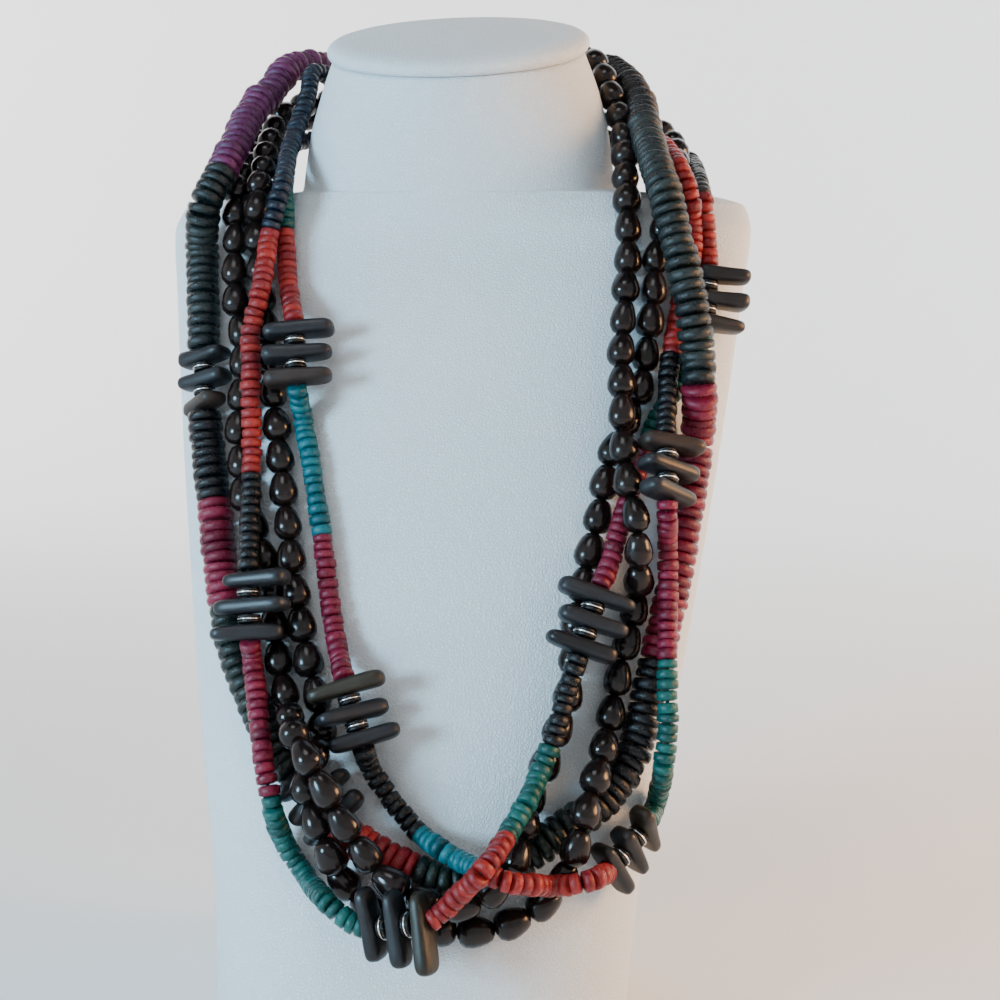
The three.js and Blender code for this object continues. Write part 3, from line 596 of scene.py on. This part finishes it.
def stringing_tree():
    """Threads beads on places: each turns towards its direction, tilts a little and takes its size."""
    tree, given, result = new_tree("stringing", "GeometryNodeTree", (
        ("Places", "NodeSocketGeometry"), ("Bead", "NodeSocketObject"), ("Finish", "NodeSocketMaterial"),
        ("Tilt", "NodeSocketFloat"), ("Seed", "NodeSocketInt")), (("Beads", "NodeSocketGeometry"),))
    bead = add_node(tree, "GeometryNodeObjectInfo", {"Object": given["Bead"]})
    aim = add_node(tree, "FunctionNodeAlignRotationToVector", {"Vector": named_vector(tree, "along")},
                   axis="Z")
    most = add_node(tree, "ShaderNodeCombineXYZ",
                    {"X": given["Tilt"], "Y": given["Tilt"], "Z": 2 * math.pi})
    least = add_node(tree, "ShaderNodeVectorMath", {0: most["Vector"], 1: (-1, -1, 0)},
                     operation="MULTIPLY")
    loose = add_node(tree, "FunctionNodeRandomValue",
                     {"Min": least["Vector"], "Max": most["Vector"], "Seed": given["Seed"]},
                     data_type="FLOAT_VECTOR")
    turn = add_node(tree, "FunctionNodeEulerToRotation", {"Euler": loose["Value"]})
    spin = add_node(tree, "FunctionNodeRotateRotation",
                    {"Rotation": aim["Rotation"], "Rotate By": turn["Rotation"]}, rotation_space="LOCAL")
    beads = add_node(tree, "GeometryNodeInstanceOnPoints", {
        "Points": given["Places"], "Instance": bead["Geometry"], "Rotation": spin["Rotation"],
        "Scale": named_vector(tree, "size")})
    give_finished(tree, beads["Instances"], given["Finish"], result["Beads"])
    return tree


def threading_tree():
    """A round thread along the edges of a mesh."""
    tree, given, result = new_tree("threading", "GeometryNodeTree", (
        ("Path", "NodeSocketGeometry"), ("Radius", "NodeSocketFloat"), ("Sides", "NodeSocketInt"),
        ("Finish", "NodeSocketMaterial")), (("Thread", "NodeSocketGeometry"),))
    path = add_node(tree, "GeometryNodeMeshToCurve", {"Mesh": given["Path"]})
    around = add_node(tree, "GeometryNodeCurvePrimitiveCircle",
                      {"Resolution": given["Sides"], "Radius": given["Radius"]})
    sweep = add_node(tree, "GeometryNodeCurveToMesh",
                     {"Curve": path["Curve"], "Profile Curve": around["Curve"], "Fill Caps": True})
    give_finished(tree, sweep["Mesh"], given["Finish"], result["Thread"])
    return tree


stringing = stringing_tree()
threading = threading_tree()


def grown(name, mesh, tree, values):
    """Object of the plain mesh that a geometry node tree makes of a mesh, given values of its inputs."""
    source = new_object(name + "_source", mesh)
    modifier = source.modifiers.new(tree.name, "NODES")
    modifier.node_group = tree
    for item in tree.interface.items_tree:
        if item.in_out == "INPUT" and item.name in values:
            modifier[item.identifier] = values[item.name]
    source.update_tag()
    graph = bpy.context.evaluated_depsgraph_get()
    result = bpy.data.meshes.new_from_object(source.evaluated_get(graph), preserve_all_data_layers=True,
                                             depsgraph=graph)
    result.name = name
    bpy.data.objects.remove(source)
    return new_object(name, result)


# How much beads differ: shares of their size or colour, and offsets from their place in mm
DISC_WIDTH_SPREAD = 0.18
DISC_SIZE_SPREAD = 0.03
DISC_FILL = 0.985
DISC_OFFSET = 0.14
DROP_SIZE_SPREAD = 0.04
DROP_ROUNDNESS_SPREAD = 0.03
DROP_LENGTH_SPREAD = 0.015
DROP_OFFSET = 0.15
SHADE_SPREAD = 0.05


# Beads' places: rows of where, which way, how large and what colour
def linear(colour):
    share = np.asarray(colour, float) / 255
    return np.where(share <= 0.04045, share / 12.92, ((share + 0.055) / 1.055) ** 2.4)


def shade_of(name, random):
    low, high = (linear(colour) for colour in SHADES[name])
    value = low + (high - low) * random.random()
    return value * (1 + random.normal(0, SHADE_SPREAD))


def places_mesh(name, rows):
    """Points of beads, with their directions, sizes and tints as attributes."""
    mesh = bpy.data.meshes.new(name)
    mesh.from_pydata([tuple(row["place"] * MM) for row in rows], [], [])
    for label, scale in (("along", 1), ("size", MM)):
        values = np.concatenate([np.asarray(row[label]) * scale for row in rows])
        mesh.attributes.new(label, "FLOAT_VECTOR", "POINT").data.foreach_set("vector", values)
    tints = np.concatenate([np.append(np.clip(row["tint"], 0, 1), 1) for row in rows])
    mesh.attributes.new("tint", "FLOAT_COLOR", "POINT").data.foreach_set("color", tints)
    return mesh


def colour_at(letter, distance, ends):
    for (shade, _), end in zip(STRETCHES[letter], ends):
        if distance < end:
            return shade
    return STRETCHES[letter][-1][0]


def washers_between(route, first, second):
    """A silver washer halfway between two chips, and a black one on each side of it."""
    place, along = route.at((first + second) / 2)
    black_width = (WASHER_THICKNESS - SILVER_WASHER_THICKNESS) / 2
    step = (SILVER_WASHER_THICKNESS + black_width) / 2
    black = [{
        "place": place + along * side * step, "along": along,
        "size": (WASHER_DIAMETER, WASHER_DIAMETER, black_width), "tint": linear(SHADES["black"][0]),
    } for side in (-1, 1)]
    size = (SILVER_WASHER_DIAMETER, SILVER_WASHER_DIAMETER, SILVER_WASHER_THICKNESS)
    return black, {"place": place, "along": along, "size": size, "tint": (1, 1, 1)}


def disc_rows(letter, diameter, pitch, random):
    """Discs and black washers of a string, and its silver washers apart."""
    route = routes[letter]
    ends = [route.length if place is None else route.nearest(*place) for _, place in STRETCHES[letter]]
    groups = [group["distances"] for group in CHIP_GROUPS if group["string"] == letter]
    edges = [0, *(edge for group in groups for edge in (group[0] - CHIP_REACH, group[-1] + CHIP_REACH)),
             route.length]
    discs, silver = [], []
    for start, end in zip(edges[::2], edges[1::2]):
        count = max(round((end - start) / pitch), 1)
        widths = 1 + random.uniform(-DISC_WIDTH_SPREAD, DISC_WIDTH_SPREAD, count)
        widths *= (end - start) / widths.sum()
        middles = start + np.cumsum(widths) - widths / 2
        for middle, width in zip(middles, widths):
            place, along = route.at(middle)
            across = diameter * (1 + random.normal(0, DISC_SIZE_SPREAD))
            discs.append({
                "place": place + random.normal(0, DISC_OFFSET, 3), "along": along,
                "size": (across, across, width * DISC_FILL),
                "tint": shade_of(colour_at(letter, middle, ends), random),
            })
    for group in groups:
        for first, second in zip(group, group[1:]):
            black_washers, silver_washer = washers_between(route, first, second)
            discs += black_washers
            silver.append(silver_washer)
    return discs, silver


def drop_rows(letter, random):
    """Drops of a string, the wide end lower."""
    route = routes[letter]
    count = round(route.length / DROP_PITCH)
    pitch = route.length / count
    rows = []
    for bead in range(count):
        place, along = route.at((bead + 0.5) * pitch)
        across = DROP_DIAMETER * (1 + random.normal(0, DROP_SIZE_SPREAD))
        rows.append({
            "place": place + random.normal(0, DROP_OFFSET, 3), "along": -along if along[2] > 0 else along,
            "size": (across, across * (1 + random.normal(0, DROP_ROUNDNESS_SPREAD)),
                     pitch * (1 + random.normal(0, DROP_LENGTH_SPREAD))),
            "tint": shade_of("drop_black", random),
        })
    return rows


def route_mesh(name, route):
    distances = np.linspace(0, route.length, round(route.length / AXIS_STEP))
    points = [tuple(route.at(distance)[0] * MM) for distance in distances]
    mesh = bpy.data.meshes.new(name)
    mesh.from_pydata(points, [(index, index + 1) for index in range(len(points) - 1)], [])
    return mesh


def joined(name, pieces):
    """One object of several, which keeps their finishes and attributes."""
    for chosen in bpy.context.selected_objects:
        chosen.select_set(False)
    for piece in pieces:
        piece.select_set(True)
    bpy.context.view_layer.objects.active = pieces[0]
    bpy.ops.object.join()
    pieces[0].name = name
    pieces[0].data.name = name
    pieces[0].select_set(False)
    return pieces[0]


# Shader node groups
NOISE_ROUGHNESS = 0.6
# Values that noise mostly keeps between
NOISE_RANGE = (0.35, 0.65)
BUMP_DEPTH = 0.0004


def noise(tree, vector, scale, detail):
    return add_node(tree, "ShaderNodeTexNoise", {
        "Vector": vector, "Scale": scale, "Detail": detail, "Roughness": NOISE_ROUGHNESS})["Fac"]


def mapped(tree, value, low, high, start=0, end=1):
    """A value between start and end spread from low to high, which are numbers or sockets."""
    return add_node(tree, "ShaderNodeMapRange", {
        "Value": value, "From Min": start, "From Max": end, "To Min": low, "To Max": high})["Result"]


def calculated(tree, operation, first, second):
    return add_node(tree, "ShaderNodeMath", {0: first, 1: second}, operation=operation)["Value"]


def shaded(tree, colour, factor):
    """A colour made lighter or darker by a factor."""
    return add_node(tree, "ShaderNodeVectorMath", {0: colour, "Scale": factor},
                    operation="SCALE")["Vector"]


def uneven_dye_group():
    """Uneven dye: broad and fine patches that lighten and darken a colour, and a height to match."""
    group, given, result = new_tree("uneven_dye", "ShaderNodeTree", (
        ("Vector", "NodeSocketVector", (0, 0, 0)), ("Colour", "NodeSocketColor", (1, 1, 1, 1)),
        ("Patch scale", "NodeSocketFloat", 300), ("Grain scale", "NodeSocketFloat", 2500),
        ("Contrast", "NodeSocketFloat", 0.2)),
        (("Colour", "NodeSocketColor"), ("Height", "NodeSocketFloat"), ("Patches", "NodeSocketFloat")))
    broad = noise(group, given["Vector"], given["Patch scale"], detail=3)
    fine = noise(group, given["Vector"], given["Grain scale"], detail=4)
    low = calculated(group, "SUBTRACT", 1, given["Contrast"])
    high = calculated(group, "ADD", 1, given["Contrast"])
    factor = calculated(group, "MULTIPLY", mapped(group, broad, low, high, *NOISE_RANGE),
                        mapped(group, fine, low, high, *NOISE_RANGE))
    group.links.new(shaded(group, given["Colour"], factor), result["Colour"])
    group.links.new(fine, result["Height"])
    group.links.new(mapped(group, broad, 0, 1, *NOISE_RANGE), result["Patches"])
    return group


def pebbled_skin_group():
    """Pebbled skin of a leathercloth: a height with fine creases between small wandering cells."""
    wander_scale = 600
    wander_reach = 0.0009
    crease_width = 0.22
    group, given, result = new_tree("pebbled_skin", "ShaderNodeTree", (
        ("Vector", "NodeSocketVector", (0, 0, 0)), ("Cell scale", "NodeSocketFloat", 900)),
        (("Height", "NodeSocketFloat"),))
    wander = add_node(group, "ShaderNodeTexNoise", {"Vector": given["Vector"], "Scale": wander_scale})
    bend = add_node(group, "ShaderNodeVectorMath",
                    {0: wander["Color"], 1: (wander_reach,) * 3, 2: given["Vector"]},
                    operation="MULTIPLY_ADD")
    cells = add_node(group, "ShaderNodeTexVoronoi",
                     {"Vector": bend["Vector"], "Scale": given["Cell scale"]}, feature="DISTANCE_TO_EDGE")
    group.links.new(mapped(group, cells["Distance"], 0, 1, 0, crease_width), result["Height"])
    return group


uneven_dye = uneven_dye_group()
pebbled_skin = pebbled_skin_group()


# Materials
def new_material(name, roughness, specular=0.5):
    material = bpy.data.materials.new(name)
    material.use_nodes = True
    shader = material.node_tree.nodes["Principled BSDF"]
    shader.inputs["Roughness"].default_value = roughness
    shader.inputs["Specular IOR Level"].default_value = specular
    return material, material.node_tree, shader


def bumped(tree, shader, height, strength):
    relief = add_node(tree, "ShaderNodeBump",
                      {"Strength": strength, "Distance": BUMP_DEPTH, "Height": height})
    tree.links.new(relief["Normal"], shader.inputs["Normal"])


def object_vector(tree):
    return add_node(tree, "ShaderNodeTexCoord", {})["Object"]


def plain_colour(tree, colour):
    socket = add_node(tree, "ShaderNodeRGB", {})[0]
    socket.default_value = (*colour, 1)
    return socket


def tint_colour(tree):
    return add_node(tree, "ShaderNodeAttribute", {}, attribute_name="tint")["Color"]


def dyed(tree, vector, colour, patch, grain, contrast):
    return add_node(tree, "ShaderNodeGroup", {
        "Vector": vector, "Colour": colour, "Patch scale": patch, "Grain scale": grain,
        "Contrast": contrast}, node_tree=uneven_dye)


def dyed_material(name, roughness, patch, grain, contrast, bump, spread=0.1, specular=0.25,
                  vector=object_vector):
    """A bead's finish: its own tint, uneven, with roughness and relief that vary with it."""
    material, tree, shader = new_material(name, roughness, specular)
    dye = dyed(tree, vector(tree), tint_colour(tree), patch, grain, contrast)
    tree.links.new(dye["Colour"], shader.inputs["Base Color"])
    rough = mapped(tree, dye["Patches"], roughness - spread, roughness + spread)
    tree.links.new(rough, shader.inputs["Roughness"])
    bumped(tree, shader, dye["Height"], bump)
    return material


def along_chip(tree):
    """The chip's own map, drawn out along its length."""
    squeeze = (0.18, 1, 1)
    chart = add_node(tree, "ShaderNodeUVMap", {}, uv_map="length_and_girth")
    return add_node(tree, "ShaderNodeMapping", {"Vector": chart["UV"], "Scale": squeeze})["Vector"]


def leathercloth_material():
    """Cover of the bust: pebbled, with painted shade darkening its creases, and unevenly shiny."""
    # A pale grey with a painted blue cast, which stands in for the cool daylight on the white cover
    colour = (0.70, 0.77, 0.81)
    painted_crease_shade = 0.93
    material, tree, shader = new_material("white_leathercloth", roughness=0.55, specular=0.4)
    vector = object_vector(tree)
    skin = add_node(tree, "ShaderNodeGroup", {"Vector": vector, "Cell scale": 820}, node_tree=pebbled_skin)
    dye = dyed(tree, vector, plain_colour(tree, colour), patch=14, grain=1600, contrast=0.018)
    # Painted shade: the colour darkens by up to 7% towards the creases between the cells
    crease_shaded_colour = shaded(tree, dye["Colour"], mapped(tree, skin["Height"], painted_crease_shade, 1))
    tree.links.new(crease_shaded_colour, shader.inputs["Base Color"])
    tree.links.new(mapped(tree, dye["Patches"], low=0.48, high=0.6), shader.inputs["Roughness"])
    bumped(tree, shader, skin["Height"], strength=0.6)
    return material


def silver_material():
    colour = (0.86, 0.86, 0.84)
    material, tree, shader = new_material("bright_silver", roughness=0.2)
    shader.inputs["Metallic"].default_value = 1
    dye = dyed(tree, object_vector(tree), plain_colour(tree, colour), patch=500, grain=4000, contrast=0.05)
    tree.links.new(dye["Colour"], shader.inputs["Base Color"])
    tree.links.new(mapped(tree, dye["Patches"], low=0.14, high=0.3), shader.inputs["Roughness"])
    return material


finishes = {
    "discs": dyed_material("dyed_shell_discs", roughness=0.3, spread=0.1, specular=0.34, patch=420,
                           grain=2600, contrast=0.15, bump=0.4),
    "drops": dyed_material("polished_black_drops", roughness=0.2, spread=0.05, specular=0.36, patch=180,
                           grain=1400, contrast=0.14, bump=0.05),
    "chips": dyed_material("satin_wood_chips", roughness=0.4, spread=0.08, specular=0.35, patch=90,
                           grain=900, contrast=0.2, bump=0.4, vector=along_chip),
    "thread": dyed_material("black_thread", roughness=0.7, patch=800, grain=4000, contrast=0.1, bump=0.3),
    "clasp": dyed_material("dark_clasp", roughness=0.45, patch=120, grain=1500, contrast=0.15, bump=0.2),
    "cover": leathercloth_material(),
    "silver": silver_material(),
}
THREAD_COLOUR = linear((18, 16, 16))
CLASP_COLOUR = linear((34, 28, 25))


def kept(piece, node):
    """A finished piece rides on the object and stands for a CAD node, which is hidden."""
    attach(piece, "root")
    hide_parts(node)


def finished(mesh, finish):
    mesh.materials.clear()
    mesh.materials.append(finishes[finish])
    return mesh


def tinted(mesh, colour):
    """One tint all over a mesh."""
    tints = np.tile(np.append(np.clip(colour, 0, 1), 1), len(mesh.vertices))
    mesh.attributes.new("tint", "FLOAT_COLOR", "POINT").data.foreach_set("color", tints)
    return mesh


# Bust and lid
def make_bust():
    rows = np.linspace(0, len(BUST_SECTIONS) - 1, (len(BUST_SECTIONS) - 1) * STEPS_BETWEEN_SECTIONS + 1)
    rings = [section_ring(section_at(row), BUST_FACETS) for row in rows]
    hem = section_at(0)
    rings[0] = section_ring(hem, BUST_FACETS, lift=HEM_EASE)
    rings.insert(0, section_ring(hem, BUST_FACETS, grow=-HEM_EASE))
    piece = new_object("bust_cover", finished(mesh_from_rings("bust_cover", rings), "cover"))
    kept(piece, "neck_bust")


# Lid from its underside to its crown: rise is a share of its thickness, inset is how far in from the
# lid's edge in mm, and crown a share of the way in to the middle
LID_PROFILE = (
    (0.0, 2.6, 0), (0.02, 1.0, 0), (0.1, 0.2, 0), (0.25, -0.5, 0), (0.42, -0.7, 0), (0.58, -0.3, 0),
    (0.72, 0.8, 0), (0.84, 2.4, 0), (0.93, 5, 0), (0.98, 9, 0), (1, 12, 0.08), (1, 12, 0.25),
    (1, 12, 0.45), (1, 12, 0.65), (1, 12, 0.82), (1, 12, 0.95),
)


def make_lid():
    rim = section_at(len(BUST_SECTIONS) - 1)
    lean = math.tan(math.radians(rim["tilt"]))
    middle = np.array([0, rim["middle"] * BASE_DEPTH, BUST_HEIGHT + SEAT_GAP])
    rings = []
    for rise, inset, crown in LID_PROFILE:
        ring = section_ring(rim, LID_FACETS, grow=LID_OVERHANG - inset,
                            lift=SEAT_GAP + rise * LID_THICKNESS)
        centre = middle + (0, 0, LID_THICKNESS)
        ring += (centre - ring) * crown
        ring[:, 2] += LID_CROWN * (1 - (1 - crown) ** 2) * math.cos(math.atan(lean))
        rings.append(ring)
    piece = new_object("lid_cover", finished(mesh_from_rings("lid_cover", rings), "cover"))
    kept(piece, "bust_lid")


make_bust()
make_lid()


# Strings of discs and of drops
DISC_TILT = 0.06
WASHER_TILT = 0.02
DROP_TILT = 0.09
DISC_SEED = 40
DROP_SEED = 60
CHIP_SEED = 80
THREAD_SIDES = 8


def strung(name, rows, bead, finish, tilt, seed):
    return grown(name, places_mesh(name, rows), stringing,
                 {"Bead": bead, "Finish": finishes[finish], "Tilt": tilt, "Seed": seed})


def thread_for(name, route):
    thread = grown(name, route_mesh(name, route), threading,
                   {"Radius": THREAD_DIAMETER / 2 * MM, "Sides": THREAD_SIDES,
                    "Finish": finishes["thread"]})
    tinted(thread.data, THREAD_COLOUR)
    for polygon in thread.data.polygons:
        polygon.use_smooth = True
    return thread


large_disc = turned_bead("large_disc", LARGE_DISC_PROFILE, LARGE_DISC_SIDES)
small_disc = turned_bead("small_disc", SMALL_DISC_PROFILE, SMALL_DISC_SIDES)
washer = turned_bead("washer", WASHER_PROFILE, SMALL_DISC_SIDES)
drop = turned_bead("drop", DROP_PROFILE, DROP_SIDES)

# A disc string's letter, its piece, the CAD node it stands for, its bead, diameter and pitch
DISC_STRINGS = (
    ("A", "large_discs", "large_disc_string", large_disc, LARGE_DISC_DIAMETER, LARGE_DISC_PITCH),
    ("B", "small_discs_front", "small_disc_string_front", small_disc, SMALL_DISC_DIAMETER,
     SMALL_DISC_PITCH),
    ("C", "small_discs_back", "small_disc_string_back", small_disc, SMALL_DISC_DIAMETER,
     SMALL_DISC_PITCH),
)
for seed, (letter, name, node, bead, diameter, pitch) in enumerate(DISC_STRINGS):
    random = np.random.default_rng(DISC_SEED + seed)
    discs, silver = disc_rows(letter, diameter, pitch, random)
    string = joined(name, [
        strung(name, discs, bead, "discs", DISC_TILT, seed),
        strung(name + "_silver", silver, washer, "silver", WASHER_TILT, seed),
        thread_for(name + "_thread", routes[letter]),
    ])
    kept(string, node)

DROP_STRINGS = (("I", "inner_drops", "drop_string_inner"), ("O", "outer_drops", "drop_string_outer"))
for seed, (letter, name, node) in enumerate(DROP_STRINGS):
    random = np.random.default_rng(DROP_SEED + seed)
    string = joined(name, [
        strung(name, drop_rows(letter, random), drop, "drops", DROP_TILT, seed),
        thread_for(name + "_thread", routes[letter]),
    ])
    kept(string, node)

for bead in (large_disc, small_disc, washer, drop):
    bpy.data.objects.remove(bead)


# Chips
CHIP_RINGS = 22
CHIP_SIDES = 20
# How full a chip's outline and its thickness stay towards its ends, and how its ends round off
CHIP_OUTLINE_POWER = 9
CHIP_THICKNESS_POWER = 8
CHIP_END_POWER = 0.42
CHIP_TIP = 0.0004
# How square its cross-section is along its width and through its thickness
CHIP_SIDE_POWER = 0.6
CHIP_FACE_POWER = 0.66
# How much chips differ: taper and wedge as shares, bow and lean in mm, with the bow's middle as a share
CHIP_TAPER = 0.16
CHIP_WEDGE = 0.22
CHIP_BOW = 0.45
CHIP_BOW_MIDDLE = 0.3
CHIP_LEAN = 0.5
# Most that a chip's grain is shifted on its own map
GRAIN_SHIFT = 40


def signed_power(values, power):
    return np.sign(values) * np.abs(values) ** power


def towards_end(across, power):
    """Share of a chip's width or thickness that is left at a share of its half length."""
    return max(1 - abs(across) ** power, CHIP_TIP) ** CHIP_END_POWER


def chip_mesh(name, chip, place, along, random):
    """A rounded, slightly bowed and tapered slab across its string."""
    outward = chest_normal(np.array(place[0]), np.array(place[2]))
    outward = unit(outward - along * (outward @ along))
    long = np.cross(outward, along)
    # The right end is the one that is seen further right, or higher where the chip stands upright
    if long @ view_right * 4 + long @ view_up * 3 < 0:
        long = -long
    roll = math.radians(chip["roll"])
    turned = long * math.cos(roll) - outward * math.sin(roll)
    wide = np.cross(along, turned)
    half = CHIP_LENGTH * chip["length"] / 2
    taper = random.uniform(-CHIP_TAPER, CHIP_TAPER)
    wedge = random.uniform(-CHIP_WEDGE, CHIP_WEDGE)
    bow = random.uniform(-CHIP_BOW, CHIP_BOW)
    lean = random.uniform(-CHIP_LEAN, CHIP_LEAN)
    angle = 2 * np.pi * (np.arange(CHIP_SIDES) + 0.5) / CHIP_SIDES
    rings, lengths = [], []
    for step in range(CHIP_RINGS + 1):
        across = -math.cos(math.pi * step / CHIP_RINGS)
        width = CHIP_WIDTH / 2 * towards_end(across, CHIP_OUTLINE_POWER) * (1 + taper * across)
        thickness = CHIP_THICKNESS / 2 * towards_end(across, CHIP_THICKNESS_POWER) * (1 + wedge * across)
        side = signed_power(np.cos(angle), CHIP_SIDE_POWER) * width + lean * across
        deep = signed_power(np.sin(angle), CHIP_FACE_POWER) * thickness
        deep += bow * (across ** 2 - CHIP_BOW_MIDDLE)
        length = chip["slide"] + across * half
        rings.append(place + turned * length + np.outer(side, wide) + np.outer(deep, along))
        lengths.append(length)
    mesh = mesh_from_rings(name, rings)
    corners = np.zeros(len(mesh.loops), dtype=int)
    mesh.loops.foreach_get("vertex_index", corners)
    girth = 0.5 + 0.5 * np.cos(2 * np.pi * (corners % CHIP_SIDES) / CHIP_SIDES)
    shift = random.uniform(0, GRAIN_SHIFT)
    values = np.stack([(np.array(lengths)[corners // CHIP_SIDES] + shift) * MM,
                       girth * CHIP_WIDTH * MM + shift], axis=1)
    mesh.uv_layers.new(name="length_and_girth").data.foreach_set("uv", values.ravel())
    return mesh


def make_chips():
    random = np.random.default_rng(CHIP_SEED)
    chips = [(group, chip, distance) for letter in STRINGS for group in CHIP_GROUPS
             if group["string"] == letter for chip, distance in zip(group["chips"], group["distances"])]
    for number, (group, chip, distance) in enumerate(chips, start=1):
        name = f"wood_chip_{number:02d}"
        place, along = routes[group["string"]].at(distance)
        mesh = chip_mesh(name, chip, place, along, random)
        tinted(mesh, shade_of(BROWN_CHIPS.get(number, "charcoal"), random))
        kept(new_object(name, finished(mesh, "chips")), f"chip_{number:02d}")


make_chips()


# Clasp: an upright bar with eased edges
def make_clasp():
    mesh = bpy.data.meshes.new("clasp")
    form = bmesh.new()
    bmesh.ops.create_cube(form, size=1)
    size = (CLASP_WIDTH, CLASP_DEPTH, CLASP_HEIGHT)
    bmesh.ops.scale(form, vec=[side * MM for side in size], verts=form.verts)
    middle = (0, (INNER_Y + OUTER_Y) / 2 * MM, CLASP_MIDDLE_Z * MM)
    bmesh.ops.translate(form, vec=middle, verts=form.verts)
    bmesh.ops.bevel(form, geom=form.edges[:], offset=CLASP_EDGE * MM, segments=4, profile=0.6,
                    affect="EDGES")
    for face in form.faces:
        face.smooth = True
    form.to_mesh(mesh)
    form.free()
    tinted(mesh, CLASP_COLOUR)
    kept(new_object("clasp", finished(mesh, "clasp")), "clasp_bar")


make_clasp()


# Floor, backdrop and light
def pale_material():
    material, tree, shader = new_material("pale_paper", roughness=0.9, specular=0.2)
    shader.inputs["Base Color"].default_value = (0.82, 0.82, 0.82, 1)
    shader.inputs["Emission Color"].default_value = (1, 1, 1, 1)
    shader.inputs["Emission Strength"].default_value = 0.06
    return material


def make_stage():
    """A pale round bowl: the floor turns up into a wall all round, well away from the bust."""
    radius, bend, wall = 2.6, 1.1, 4.0
    bend_steps, sides = 24, 96
    below_base = 0.0005
    angles = np.radians(np.linspace(0, 90, bend_steps + 1))
    reach = np.concatenate([radius - bend + bend * np.sin(angles), [radius]])
    rise = np.concatenate([bend - bend * np.cos(angles), [wall]])
    around = 2 * np.pi * np.arange(sides) / sides
    rings = [np.stack([out * np.cos(around), out * np.sin(around), np.full(sides, up - below_base)], axis=1)
             for out, up in zip(reach, rise)]
    mesh = mesh_from_rings("bowl", [ring / MM for ring in rings[::-1]], closed_ends=False)
    floor = bmesh.new()
    floor.from_mesh(mesh)
    inner_edges = [edge for edge in floor.edges if edge.is_boundary and edge.verts[0].co.z < bend / 2]
    bmesh.ops.holes_fill(floor, edges=inner_edges, sides=sides)
    floor.to_mesh(mesh)
    floor.free()
    mesh.materials.append(pale_material())
    new_object("bowl", mesh)


make_stage()


def area_light(name, place, target, size, power, colour):
    """A square light that shines from its place towards its target, both in metres."""
    data = bpy.data.lights.new(name, "AREA")
    data.size = size
    data.energy = power
    data.color = colour
    light = new_object(name, data)
    light.location = place
    aim = Vector(target) - Vector(place)
    light.rotation_euler = aim.to_track_quat("-Z", "Y").to_euler()


CHEST = (0.0, 0.0, 0.24)
area_light("daylight_left", (-0.8, -0.85, 0.4), CHEST, size=0.34, power=20, colour=(0.42, 0.76, 1.0))
area_light("warm_right", (1.0, 0.05, 0.4), CHEST, size=0.4, power=15, colour=(1.0, 0.5, 0.2))
area_light("window_above", (-0.1, -0.6, 1.6), CHEST, size=0.6, power=5, colour=(0.96, 0.97, 1.0))
for side in (-1, 1):
    area_light("on_the_wall", (side * 1.3, 0.9, 1.3), (side * 0.7, 2.6, 0.7), size=0.6, power=42,
               colour=(1.0, 1.0, 1.0))

world = bpy.data.worlds.new("studio")
world.use_nodes = True
world.node_tree.nodes["Background"].inputs["Color"].default_value = (0.82, 0.93, 1.0, 1)
world.node_tree.nodes["Background"].inputs["Strength"].default_value = 0.1
bpy.context.scene.world = world
